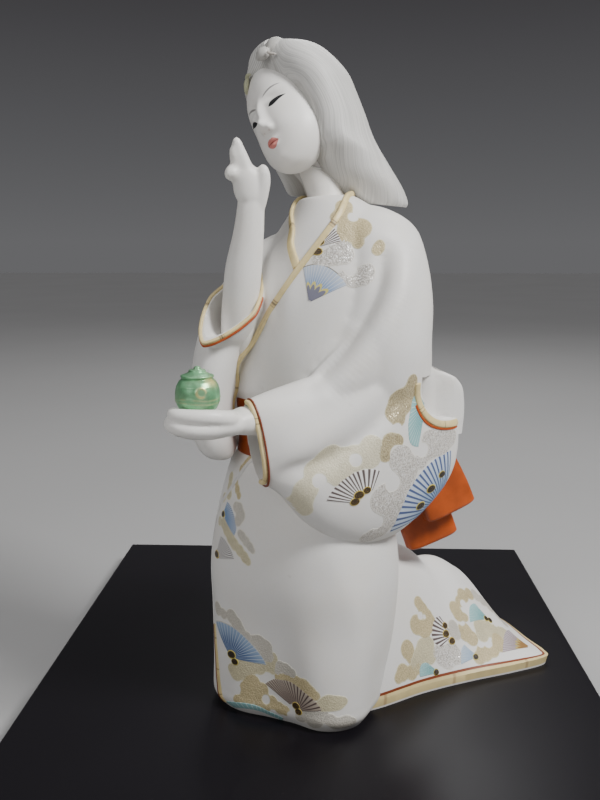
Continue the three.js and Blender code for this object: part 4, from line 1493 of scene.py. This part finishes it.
class Pattern:
    """Gathers the raised paint of one region, sorted by paint."""

    def __init__(self, surface, cast):
        self.tree = SURFACES[surface]
        self.cast = cast
        self.parts = {}

    def lay(self, bm, paint, lift):
        """Moves a flat form onto the surface, raises it by a share of the paint's thickness and closes it."""
        raised = sizes().raised * lift
        edge = bm.verts.layers.float["edge"]
        into = bm.verts.layers.float_vector.new("into")
        gone = []
        for vertex in bm.verts:
            spot = self.cast(self.tree, vertex.co.x, vertex.co.y)
            if spot is None:
                gone.append(vertex)
                continue
            point, normal = spot
            vertex[into] = normal * -PAINT_ROOT
            vertex.co = point + normal * (raised * (0.35 + 0.65 * step(0, 0.35, vertex[edge])))
        bmesh.ops.delete(bm, geom=gone, context="VERTS")
        torn = [line for line in bm.edges if line.calc_length() > LONGEST_EDGE]
        bmesh.ops.delete(bm, geom=torn, context="EDGES")
        loose = [vertex for vertex in bm.verts if not vertex.link_faces]
        bmesh.ops.delete(bm, geom=loose, context="VERTS")
        if not bm.faces:
            bm.free()
            return
        for made in bmesh.ops.extrude_face_region(bm, geom=bm.faces[:], use_keep_orig=True)["geom"]:
            if isinstance(made, bmesh.types.BMVert):
                made.co += made[into]
        face_out(bm)
        self.parts.setdefault(paint, []).append(bm)

    def cloud(self, paint, circles, holes=(), lift=1.0, cell=0.55, border=0.9, grow=0.7, melt=0.8):
        """A union of circles less its holes, on a fine grid whose rim is moved onto the outline."""

        def field(a, b):
            depths = [(r - math.hypot(a - x, b - y)) / melt for x, y, r in circles]
            inside = melt * math.log(sum(math.exp(clamp(depth, -30, 30)) for depth in depths) + 1e-12) + grow
            for x, y, r in holes:
                inside = min(inside, math.hypot(a - x, b - y) - r)
            return inside

        margin = cell + grow + 0.8
        low = [min(circle[n] - circle[2] for circle in circles) - margin for n in (0, 1)]
        high = [max(circle[n] + circle[2] for circle in circles) + margin for n in (0, 1)]
        counts = [max(2, round((high[n] - low[n]) / cell)) for n in (0, 1)]
        bm, shares, (edge,) = grid(*counts, ["edge"])
        bm.loops.layers.uv.new("wrap")
        outside = []
        for vertex, share in shares.items():
            a, b = [low[n] + share[n] * (high[n] - low[n]) for n in (0, 1)]
            depth = field(a, b)
            if depth < -0.75 * cell:
                outside.append(vertex)
            elif depth < 0.25 * cell:
                slope = Vector((field(a + 0.05, b) - depth, field(a, b + 0.05) - depth)) / 0.05
                slope = slope / max(slope.length_squared, 0.3)
                a, b, depth = a - slope.x * depth, b - slope.y * depth, 0
            vertex[edge] = clamp(depth / border, 0, 1)
            vertex.co = (a, b, 0)
        bmesh.ops.delete(bm, geom=outside, context="VERTS")
        self.lay(bm, paint, lift)

    def flow(self, paint, circles, holes=(), lift=1.0):
        """A cloud whose circles keep their own round outlines."""
        self.cloud(paint, circles, holes, lift, grow=0.6, melt=0.45)

    def fan(self, paint, pivot, outer, start, turns=40, rings=26):
        """A fan opens from its pivot to the outer points, which need not be at one distance."""
        polar = []
        for a, b in outer:
            angle = math.atan2(b - pivot[1], a - pivot[0])
            if polar:
                angle -= TURN * round((angle - polar[-1][0]) / TURN)
            polar.append((angle, math.hypot(a - pivot[0], b - pivot[1])))
        bm, shares, (edge,) = grid(turns, rings, ["edge"])
        for vertex, (around, outward) in shares.items():
            angle, reach = through_pair(polar, around)
            share = start + (1 - start) * outward
            shares[vertex] = (around, share)
            vertex[edge] = min(around, 1 - around, 1 - outward) * 6 + 0.05
            reach = reach * share
            vertex.co = (pivot[0] + math.cos(angle) * reach, pivot[1] + math.sin(angle) * reach, 0)
        wrap(bm, shares)
        self.lay(bm, paint, 1.3)

    def pine(self, spots, paint="pine"):
        """Small dark blots with a yellow rim, as the needles at the foot of a fan."""
        for a, b, r in spots:
            aside = r * 0.6
            lobes = [(a, b, r * 0.8), (a - aside, b - r * 0.2, aside), (a + aside, b - r * 0.1, aside)]
            self.cloud(paint, lobes, (), 2.2, 0.28, aside, 0.1)

    def build(self, name):
        for paint, parts in self.parts.items():
            piece(f"{name}_{paint}", merged(parts), pattern_paint(paint), 60)


PATTERN_PAINTS = {}


def pattern_paint(kind):
    """The paint of one kind of cloud, fan or blot, made once."""
    if kind not in PATTERN_PAINTS:
        clouds, fans = cloud_looks(), fan_looks()
        name = f"pattern_{kind}"
        made = glitter_paint(name, *clouds[kind]) if kind in clouds else fan_paint(name, *fans[kind])
        PATTERN_PAINTS[kind] = made
    return PATTERN_PAINTS[kind]


def cloud_looks():
    """Each cloud or blot: colour, outline, sparkle, how strongly it sparkles and how metallic it is."""
    p = paints()
    return {
        "tan": (p.gold, (0.64, 0.58, 0.38), (0.74, 0.64, 0.40), 0.45, 0.4),
        "gold": (tone(p.gold, 0.80), (0.62, 0.55, 0.36), (0.86, 0.76, 0.52), 0.9, 0.6),
        "cream": (p.cream, (0.74, 0.71, 0.56), (0.78, 0.75, 0.62), 0.3, 0.2),
        "straw": ((0.60, 0.54, 0.36), (0.72, 0.68, 0.50), (0.74, 0.68, 0.48), 0.35, 0.3),
        "silver": ((0.62, 0.58, 0.525), (0.72, 0.69, 0.62), (1.0, 0.99, 0.97), 1.0, 0.35),
        "grey": ((0.57, 0.535, 0.465), (0.74, 0.71, 0.62), (0.68, 0.64, 0.56), 0.35, 0.3),
        "pine": ((0.03, 0.02, 0.012), (0.66, 0.55, 0.12), (0.20, 0.12, 0.02), 0.3, 0.2),
        "ochre": ((0.05, 0.03, 0.012), (0.58, 0.44, 0.10), (0.30, 0.19, 0.03), 0.4, 0.3),
    }


def fan_looks():
    """Each fan: width of ribs, outer colour, inner colour, colour and number of ribs, rim and foot."""
    p = paints()
    dark_rim, pale_rim = (0.16, 0.14, 0.10), (0.55, 0.52, 0.45)
    blue_foot = ((0.16, 0.16, 0.22), (0.64, 0.55, 0.14))
    lilac_foot = ((0.30, 0.16, 0.05), (0.50, 0.40, 0.10))
    return {
        "rib_brown": (0.25, p.robe, p.robe, (0.05, 0.018, 0.016), 9),
        "rib_dark": (0.21, p.robe, p.robe, (0.045, 0.018, 0.014), 14),
        "rib_blue": (0.19, (0.58, 0.64, 0.72), (0.26, 0.40, 0.60), (0.03, 0.06, 0.20), 19),
        "leaf_blue": (0.07, (0.50, 0.55, 0.62), p.blue, (0.66, 0.68, 0.70), 15, dark_rim, blue_foot),
        "leaf_teal": (0.06, (0.29, 0.50, 0.50), p.teal, (0.62, 0.70, 0.68), 15),
        "leaf_pale": (0.08, (0.42, 0.50, 0.58), (0.28, 0.40, 0.55), (0.60, 0.64, 0.66), 12),
        "lilac": (0.11, (0.48, 0.43, 0.45), (0.34, 0.28, 0.28), (0.16, 0.10, 0.11), 14, None, lilac_foot),
        "skirt_blue": (0.10, (0.30, 0.40, 0.54), (0.05, 0.10, 0.24), (0.48, 0.54, 0.62), 18, pale_rim),
        "grey_rib": (0.17, (0.44, 0.38, 0.31), (0.30, 0.24, 0.20), (0.07, 0.04, 0.04), 22),
    }


def build_chest_pattern():
    area = Pattern("upper", CHEST)
    area.cloud("tan", [(5.5, 23.3, 3.0), (10.9, 12.3, 4.0), (6.6, 11.6, 4.5), (9.4, 5.7, 1.8),
        (1.8, 17.9, 2.1), (3.3, 8.9, 2.1), (4.6, 18.6, 3.2)], [(8.4, 17.6, 2.2)])
    area.cloud("silver", [(2.5, 3.6, 3.7), (3.9, 0.8, 3.1), (-0.1, 1.1, 3.7), (-3.7, -0.2, 2.6),
        (-6.6, -0.4, 2.1)])
    area.cloud("silver", [(10.9, -8.1, 3.6), (6.7, -9.5, 2.6), (13.3, -5.8, 1.6), (3.5, -8, 2.2)],
        [(5.8, -4.9, 2.9)])
    area.cloud("tan", [(17.5, 2.9, 1.6), (18.2, 4.6, 1.1), (16.4, 1.6, 1.0)])
    area.fan("rib_brown", (-6.9, 5.1), [(-1.6, 15.4), (1.0, 11.3), (2.6, 6.6)], 0.18)
    area.pine([(-5.6, 7.3, 1.0), (-6.8, 3.3, 1.3)], "ochre")
    area.fan("leaf_blue", (-11.1, -17.7), [(-12.9, -2.5), (-9.0, -1.9), (-4.0, -3.2), (0.6, -6.6),
        (4.5, -11.6)], 0.06)
    area.build("chest")


def build_sleeve_pattern():
    area = Pattern("upper", SLEEVE_FRONT)
    area.cloud("cream", [(14.0, 111.0, 3.5), (15.0, 115.9, 4.1), (19.5, 123.0, 4.6), (24.3, 127.1, 5.2),
        (25.9, 129.4, 3.5), (31.0, 126.3, 4.7), (36.1, 127.0, 4.7), (43.5, 131.3, 4.1), (42.8, 126.9, 4.1),
        (28.4, 121.5, 4.7), (15.6, 106.2, 2.6)], [(20.2, 119.2, 2.9), (35.9, 126.4, 2.6)])
    area.cloud("gold", [(57.9, 148.7, 5.1), (54.8, 144.3, 3.6), (56.1, 141.2, 2.4), (61.6, 150.1, 3.6),
        (62.4, 157.6, 1.9), (62.2, 154.4, 2.4)], [(55.3, 137.5, 2.5)])
    area.cloud("gold", [(51.8, 132.2, 3.6), (49.7, 128.0, 3.3), (55.5, 132.3, 2.4)], [(55.2, 127.4, 3.4)])
    area.cloud("silver", [(57.3, 124.7, 5.4), (61.7, 120.1, 4.9), (60.5, 114.9, 4.3), (50.1, 108.1, 6.3),
        (55.3, 102.7, 5.5), (57.4, 108.9, 3.7), (47.9, 91.3, 3.0), (52.2, 92.6, 2.6), (55.7, 97.2, 3.1),
        (44.6, 90.2, 2.0)], [(53.8, 114.6, 3.7), (48.2, 97.5, 3.1)])
    area.cloud("silver", [(79.4, 128.9, 5.6), (73.4, 126.4, 3.7), (68.1, 122.3, 3.1), (84.5, 130.5, 4.2),
        (75.5, 131.6, 3.6), (71.6, 131.8, 2.8)], [(68.8, 127.0, 3.1)])
    area.fan("rib_dark", (41.6, 107.0), [(23.4, 110.3), (28.1, 117.5), (36.0, 121.6), (47.2, 120.6)], 0.42)
    area.pine([(37.6, 111.7, 1.9), (36.0, 108.9, 1.6), (41.2, 113.3, 1.2)], "ochre")
    area.fan("leaf_teal", (70.3, 146.4), [(66.6, 152.6), (62.3, 145.0), (60.9, 137.6), (62.2, 130.6),
        (66.4, 128.6)], 0.05)
    area.fan("rib_blue", (88.0, 96.5), [(57.0, 90.6), (59.6, 103.6), (66.0, 114.4), (75.5, 121.6),
        (86.2, 124.2)], 0.30, 56, 30)
    area.pine([(71.1, 101.3, 2.1), (75.6, 108.6, 2.2), (81.2, 114.3, 1.5)])
    area.build("sleeve")
    back = Pattern("upper", SLEEVE_BACK)
    back.cloud("cream", [(20, 112, 4.5), (26, 117, 5), (33, 114, 4.5), (38, 119, 4), (15, 108, 3)],
        [(27, 111, 2.6)])
    back.cloud("gold", [(58, 112, 5), (64, 117, 4.6), (52, 107, 4), (69, 112, 3.6)], [(61, 106, 3)])
    back.fan("rib_blue", (44, 96), [(30, 106), (37, 112), (46, 113), (56, 107)], 0.3)
    back.build("sleeve_back")


def build_train_pattern():
    area = Pattern("train", TRAIN)
    area.flow("tan", [(34.6, 38.2, 2.4), (36.7, 35.2, 2.6), (39.0, 32.1, 2.6), (40.0, 28.6, 3.5),
        (31.0, 28.9, 3.9), (35.6, 26.2, 3.5)], [(34.3, 32.5, 1.7), (36.7, 31.8, 1.0)])
    area.flow("straw", [(33.1, 18.6, 4.1), (36.0, 15.2, 3.6), (29.7, 15.7, 3.4), (27.4, 12.9, 3.4),
        (36.5, 19.8, 3.0)])
    area.flow("tan", [(22.9, 19.5, 3.6), (24.9, 16.1, 2.7), (26.4, 13.6, 1.8)], (), 0.7)
    area.flow("tan", [(23.9, 10.0, 2.8), (18.4, 10.8, 3.2), (15.4, 9.0, 1.8), (28.0, 11.2, 2.2)])
    area.flow("silver", [(44.2, 13.5, 4.4), (49.7, 14.0, 4.4), (41.4, 15.3, 3.1), (46.3, 11.2, 3.8),
        (51.6, 12.0, 3.4)])
    area.flow("grey", [(54.9, 25.5, 3.0), (55.7, 22.2, 3.0), (53.4, 22.9, 2.2)])
    area.flow("tan", [(60.2, 34.2, 3.2), (61.4, 30.9, 3.1), (69.9, 40.2, 3.5), (76.6, 41.2, 3.0),
        (65.7, 37.3, 2.5), (65.4, 29.0, 1.8)], [(67.6, 35.8, 2.0)])
    area.flow("tan", [(62.0, 21.8, 4.1), (65.2, 18.4, 3.4), (62.0, 23.9, 2.9)], [(62.0, 27.4, 2.2)])
    area.flow("straw", [(73.9, 23.3, 4.1), (79.5, 21.4, 4.4), (72.8, 19.2, 3.6), (85.1, 17.7, 3.9),
        (91.1, 18.5, 3.3), (86.8, 21.4, 2.6)], [(87.7, 24.3, 1.9)], 0.7)
    area.flow("tan", [(69.2, 10.2, 4.1), (74.7, 10.8, 3.8), (81.6, 12.7, 4.2), (65.0, 8.5, 2.9),
        (82.0, 15.4, 3.3)], [(74.0, 15.0, 3.0), (69.4, 15.2, 2.3)])
    area.flow("grey", [(82.7, 40.9, 3.4), (87.5, 38.1, 3.0), (92.7, 34.9, 3.3), (98.3, 30.3, 2.9),
        (100.5, 25.5, 2.7)])
    area.fan("rib_brown", (53.4, 21.7), [(43.6, 17.4), (39.9, 20.8), (40.0, 25.6), (43.0, 29.9),
        (47.3, 31.0)], 0.25)
    area.pine([(49.2, 26.6, 1.1), (48.5, 22.9, 1.6), (51.4, 19.2, 1.5)], "ochre")
    area.fan("leaf_teal", (83.9, 26.9), [(67.7, 26.2), (69.3, 30.4), (72.1, 34.2), (77.9, 35.7)], 0.04)
    area.fan("leaf_teal", (39.6, 6.9), [(28.4, 7.3), (28.3, 10.3), (30.7, 12.7), (34.2, 12.2)], 0.04)
    area.fan("leaf_pale", (64.7, 9.4), [(53.3, 7.8), (54.4, 11.6), (56.5, 14.8), (58.9, 16.4)], 0.04)
    area.pine([(81.4, 27.4, 1.2), (84.4, 26.4, 1.2), (63.2, 9.5, 1.1), (38.0, 7.6, 0.9)])
    area.fan("lilac", (100.6, 7.6), [(98.1, 20.3), (89.7, 17.6), (84.2, 13.2), (80.1, 8.1)], 0.08)
    area.build("train")


def build_skirt_pattern():
    area = Pattern("skirt", SKIRT)
    area.flow("tan", [(-38.6, 121.6, 1.7), (-41.2, 117.8, 2.0), (-43.4, 114.0, 1.7)])
    area.flow("tan", [(-45.8, 107.8, 1.3), (-43.6, 104.9, 1.6), (-41.2, 102.4, 1.2)])
    area.flow("straw", [(-52.6, 108.5, 2.1), (-51.6, 104.4, 2.1), (-50.2, 101.0, 1.9), (-55.5, 98.5, 1.8)])
    area.flow("grey", [(-39.4, 96.8, 2.6), (-37.3, 94.3, 2.6), (-39.0, 91.8, 2.4), (-42.3, 97.4, 1.9)])
    area.flow("grey", [(-34.9, 85.4, 1.9), (-32.0, 83.6, 2.0), (-29.2, 81.8, 1.7), (-27.3, 80.4, 1.1),
        (-36.8, 86.4, 1.4)])
    area.flow("straw", [(-50.6, 87.7, 2.3), (-47.2, 85.6, 2.6), (-43.3, 82.9, 2.6), (-40.0, 80.7, 2.4),
        (-35.9, 78.7, 2.3), (-32.4, 76.4, 2.2), (-30.1, 74.8, 1.4), (-55.2, 87.5, 1.8)])
    area.fan("rib_blue", (-52.6, 91.6), [(-51.0, 97.6), (-47.4, 96.8), (-43.8, 94.3), (-41.1, 91.2),
        (-39.8, 87.3), (-40.9, 84.2)], 0.2)
    area.pine([(-52.4, 91.6, 1.1)])
    area.fan("rib_dark", (-55.2, 69.7), [(-52.0, 81.2), (-46.4, 80.2), (-42.2, 77.4), (-39.6, 73.9)], 0.28)
    area.pine([(-53.6, 72.2, 1.7)], "ochre")
    area.flow("grey", [(-41.5, 46.1, 3.1), (-38.2, 43.5, 3.0), (-35.8, 41.0, 2.4), (-47.3, 45.4, 2.2),
        (-31.9, 38.8, 2.0), (-52.5, 46.0, 3.0)])
    area.flow("grey", [(-25.1, 36.8, 3.7), (-20.9, 35.2, 3.7), (-23.7, 31.3, 3.1), (-28.5, 37.4, 2.4),
        (-19.0, 31.4, 2.4), (-27.0, 33.4, 2.4)], (), 0.8)
    area.flow("straw", [(-16.6, 31.0, 2.5), (-20.2, 27.5, 3.1), (-24.6, 24.9, 2.7), (-28.8, 24.1, 2.5),
        (-16.7, 26.2, 2.6), (-35.5, 24.0, 3.6), (-31.2, 25.8, 2.8), (-37.2, 20.0, 3.3), (-32.8, 21.0, 2.9),
        (-39.9, 21.3, 2.1)], (), 0.6)
    area.flow("grey", [(-12.2, 27.9, 2.4), (-8.4, 27.3, 2.5), (-5.0, 26.2, 1.9), (-13.8, 25.4, 1.4)])
    area.flow("tan", [(-3.4, 22.4, 3.0), (1.1, 21.8, 3.0), (4.0, 20.0, 2.3), (-8.5, 22.8, 2.3),
        (-13.2, 22.6, 2.0), (6.3, 18.4, 1.8)], (), 0.8)
    area.flow("straw", [(12.1, 15.7, 3.4), (15.2, 15.6, 3.0), (9.4, 14.3, 2.4), (17.6, 16.1, 1.7)])
    area.flow("grey", [(18.7, 6.0, 3.1), (15.4, 5.6, 2.7), (12.3, 8.0, 2.4), (21.4, 5.3, 2.1)])
    area.flow("grey", [(3.5, 9.4, 3.4), (8.3, 9.6, 3.4), (-0.5, 6.2, 2.4), (6.0, 5.4, 3.0)], (), 0.8)
    area.flow("tan", [(-28.8, 17.1, 3.8), (-31.1, 13.8, 3.8), (-27.3, 12.3, 3.5), (-23.0, 14.6, 3.1),
        (-31.4, 9.3, 3.2), (-17.1, 9.7, 2.9), (-12.5, 7.7, 2.6), (-36.0, 7.3, 2.1), (-25.1, 7.6, 2.0),
        (-8.8, 7.1, 2.1), (-21.0, 6.4, 2.0)], [(-37.5, 12.4, 2.7), (-21.0, 10.4, 2.3), (-6.1, 5.6, 1.9)],
        0.7)
    area.fan("skirt_blue", (-41.2, 26.7), [(-54.6, 38.9), (-44.6, 41.6), (-34.6, 39.4), (-27.4, 34.6),
        (-20.4, 27.0)], 0.06, 52, 28)
    area.pine([(-40.5, 28.2, 2.0), (-38.4, 25.4, 1.4)])
    area.fan("grey_rib", (-2.1, 8.8), [(-21.5, 17.9), (-15.2, 21.4), (-9.2, 22.0), (1.8, 18.9),
        (9.8, 11.6)], 0.22, 52, 28)
    area.pine([(-2.8, 11.3, 1.5), (-1.4, 8.8, 1.2)], "ochre")
    area.fan("leaf_teal", (-24.0, -14.0), [(-44.5, 3.3), (-36.6, 6.0), (-26.6, 6.6), (-18.9, 4.7),
        (-11.0, 2.2)], 0.86)
    area.cloud("gold", [(70, 30, 5), (76, 25, 5.4), (82, 31, 4.6), (66, 22, 3.6), (88, 24, 4)],
        [(75, 32, 2.6)])
    area.cloud("cream", [(-84, 34, 5), (-78, 28, 5.4), (-90, 27, 4.6), (-72, 33, 3.6), (-96, 33, 4)],
        [(-84, 26, 2.6)])
    area.fan("rib_blue", (-80, 8), [(-94, 18), (-86, 24), (-76, 24), (-67, 17)], 0.25)
    area.build("skirt")


def build_side_pattern():
    area = Pattern("upper", RIGHT_SIDE)
    area.cloud("cream", [(-62, 134, 5), (-56, 139, 5.4), (-49, 135, 4.6), (-43, 140, 3.8), (-68, 129, 3.6)],
        [(-56, 132, 2.8)])
    area.cloud("gold", [(-80, 150, 4.6), (-74, 155, 4.4), (-86, 156, 3.6)], [(-80, 156, 2.2)])
    area.fan("leaf_teal", (-66, 144), [(-78, 152), (-71, 158), (-62, 158), (-55, 152)], 0.06)
    area.fan("rib_dark", (-52, 122), [(-64, 129), (-58, 134), (-50, 135), (-43, 130)], 0.3)
    area.build("side")


def build_borders():
    p = paints()
    cream = border_paint("border_paint", p.trim, [(0.30, 0.007), (0.345, 0.007), (0.80, 0.007)])
    marked = border_paint("cuff_border_paint", p.trim, [(0.10, 0.012), (0.80, 0.008)])
    orange = plain_paint("border_orange", p.sash, 0.4, 0.25)
    red = plain_paint("border_red", p.line, 0.4, 0.2)
    pouch = (POUCH_KEYS, SLEEVE_OUT, SLEEVE_ALONG)
    cuff = (CUFF, CUFF_LOW, CUFF_AXIS)
    along, z, radius = OPENING

    def arc(first, radius):
        """Points of the opening's edge around its lowest point, from an angle to twenty degrees."""
        points = []
        for i in range(ARC_STEPS + 1):
            angle = math.radians(first + (20 - first) * i / ARC_STEPS)
            x, y = [squared(way, 2 / OPENING_SQUARENESS) for way in (math.sin(angle), math.cos(angle))]
            points.append((along + x * radius, z - y * radius))
        return points

    for name, bm, paint in (
        ("sleeve_border", ring_band(*pouch, 0.0, 2.0, 1.9, 0.3, -0.8, (-0.27, 0.27)), cream),
        ("sleeve_border_line", ring_band(*pouch, 0.03, 0.8, 1.0, 0, -0.1, (-0.28, 0.28)), red),
        ("cuff_border", ring_band(*cuff, 1.0, 1.7, 1.5, -0.2, -0.6), marked),
        ("cuff_border_line", ring_band(*cuff, 1.0, 1.3, 1.2, -1.5, -0.1), orange),
        ("opening_border",
         traced_band("upper", arc(-84, radius + 1.5), 3.2, 2.0, -0.1, SLEEVE_FRONT, 1.2), cream),
        ("opening_border_line",
         traced_band("upper", arc(-66, radius + 3.2), 1.1, 0.9, 0.1, SLEEVE_FRONT, 1.4), orange),
    ):
        piece(name, bm, paint, 60)


def build_hems():
    """Painted bands along the edge of the skirt's overlap and its lower border."""
    p = paints()
    edge = [
        (-35.2, 122.2), (-38.9, 117.8), (-49, 105), (-61.9, 87.8), (-64, 60), (-62, 40), (-58, 20), (-55, 3),
    ]
    side = [(-56.2, 37), (-52.0, 24), (-48.4, 12), (-45.0, 2.4)]
    white = border_paint("overlap_paint", tone(p.robe, 0.95))
    cream = border_paint("hem_paint", p.trim, [(0.18, 0.01), (0.52, 0.01), (0.84, 0.01)])
    red = plain_paint("hem_red", p.line, 0.4, 0.2)
    piece("overlap_edge", traced_band("skirt", edge, 2.0, 0.8, 0.05, SKIRT), white, 60)
    piece("skirt_border", traced_band("skirt", side, 2.8, 0.7, 0.05, SKIRT), cream, 60)
    piece("skirt_border_line", traced_band("skirt", side, 0.7, 0.7, 0.08, SKIRT, 1.7), red, 60)


def build_sash_band():
    """The sash around the waist, seen where the upper robe doesn't cover it."""
    # Painted shade: a darker copy of the sash's orange, where the band lies in under the upper robe.
    orange = plain_paint("sash_band_shaded_paint", tone(paints().sash, 0.8), 0.42, 0.4)
    piece("sash_band", body_part(118.5, 146.5, 180, 40, 0.45, (0.06, 0.06)), orange)


# Stage
def area_light(name, place, size, power):
    """A round lamp aimed at the middle of the figure."""
    light = bpy.data.lights.new(name, "AREA")
    light.shape = "DISK"
    light.size = size
    light.energy = power
    made = bpy.data.objects.new(name, light)
    made.location = place
    made.rotation_euler = (Vector((0.0, -0.05, 0.15)) - Vector(place)).to_track_quat("-Z", "Y").to_euler()
    bpy.context.scene.collection.objects.link(made)


def build_stage():
    camera = bpy.data.cameras.new("camera")
    camera.lens = 39.006
    camera.sensor_width = 36
    camera.clip_start = 0.01
    made = bpy.data.objects.new("camera", camera)
    made.location = (0.00802, -0.43788, 0.22887)
    made.rotation_euler = (math.radians(90 - 10.3669), 0, math.radians(2.2934))
    bpy.context.scene.collection.objects.link(made)
    bpy.context.scene.camera = made
    bm = bmesh.new()
    bmesh.ops.create_grid(bm, x_segments=2, y_segments=2, size=6)
    floor = placed("floor", bm, floor_paint("floor_paint"), False)
    area_light("key", (0.56, -0.40, 0.80), 0.24, 10.6)
    area_light("fill", (-0.8, -1.1, 0.8), 0.8, 6)
    area_light("back", (0.2, 1.0, 1.2), 0.7, 6)
    world = bpy.data.worlds.new("studio")
    world.use_nodes = True
    tree = world.node_tree
    view = tree.nodes.new("ShaderNodeTexCoord")
    split = tree.nodes.new("ShaderNodeSeparateXYZ")
    ramp = tree.nodes.new("ShaderNodeValToRGB")
    stops = [(0.0, (0.135, 0.135, 0.14)), (0.10, (0.10, 0.10, 0.105)), (0.27, (0.05, 0.048, 0.052)),
             (1.0, (0.5, 0.5, 0.51))]
    while len(ramp.color_ramp.elements) < len(stops):
        ramp.color_ramp.elements.new(0.5)
    for element, (position, grey) in zip(ramp.color_ramp.elements, stops):
        element.position = position
        element.color = (*grey, 1)
    tree.links.new(view.outputs["Generated"], split.inputs[0])
    tree.links.new(split.outputs["Z"], ramp.inputs[0])
    tree.links.new(ramp.outputs[0], tree.nodes["Background"].inputs["Color"])
    tree.nodes["Background"].inputs["Strength"].default_value = 1.0
    bpy.context.scene.world = world


# Operators
def operator(name, label, text, *work):
    """An operator that builds one piece or one group of like pieces."""

    def execute(self, context):
        for part in work:
            part()
        return {"FINISHED"}

    body = {
        "__doc__": text,
        "bl_idname": f"doll.{name}",
        "bl_label": label,
        "bl_description": text,
        "bl_options": {"REGISTER", "UNDO"},
        "execute": execute,
    }
    return type(f"DOLL_OT_{name}", (bpy.types.Operator,), body)


OPERATORS = [
    operator("stage", "Stage", "Build the camera, the floor and the lights", build_stage),
    operator("skirt", "Skirt", "Build the skirt of the kimono and its train", build_skirt, build_train),
    operator("upper_robe", "Upper robe", "Build the chest and the sleeves",
             build_upper_robe, build_under_sleeve),
    operator("sash_band", "Sash band", "Build the sash around the waist", build_sash_band),
    operator("borders", "Borders", "Build the borders of the sleeves and the hems",
             build_borders, build_hems),
    operator("patterns", "Patterns", "Lay the raised patterns on the kimono",
             build_chest_pattern, build_sleeve_pattern, build_train_pattern, build_skirt_pattern,
             build_side_pattern),
    operator("collars", "Collars", "Build the collar bands", build_collars),
    operator("bow", "Sash", "Build the ends of the sash", build_bow),
    operator("head", "Head", "Build the head and the neck", build_head),
    operator("hair", "Hair", "Build the hair and its knot", build_hair),
    operator("hands", "Hands", "Build both arms and hands", build_right_hand, build_left_hand),
    operator("burner", "Incense burner", "Build the incense burner", build_burner),
    operator("board", "Board", "Build the lacquered board", build_board),
]


class DOLL_PT_panel(bpy.types.Panel):
    """Buttons that build the doll"""

    bl_label = "Hakata Doll"
    bl_idname = "DOLL_PT_panel"
    bl_space_type = "VIEW_3D"
    bl_region_type = "UI"
    bl_category = "Doll"

    def draw(self, context):
        for group in (context.scene.doll_paints, context.scene.doll_sizes):
            box = self.layout.box()
            for key in group.bl_rna.properties.keys():
                if key not in ("rna_type", "name"):
                    box.prop(group, key)
        for made in OPERATORS:
            self.layout.operator(made.bl_idname)


def register():
    for made in (DollPaints, DollSizes, *OPERATORS, DOLL_PT_panel):
        bpy.utils.register_class(made)
    bpy.types.Scene.doll_paints = PointerProperty(type=DollPaints)
    bpy.types.Scene.doll_sizes = PointerProperty(type=DollSizes)


def unregister():
    del bpy.types.Scene.doll_sizes
    del bpy.types.Scene.doll_paints
    for made in (DOLL_PT_panel, *reversed(OPERATORS), DollSizes, DollPaints):
        bpy.utils.unregister_class(made)


def main():
    register()
    for made in OPERATORS:
        name = made.bl_idname.split(".")[1]
        getattr(bpy.ops.doll, name)()


if __name__ == "__main__":
    main()
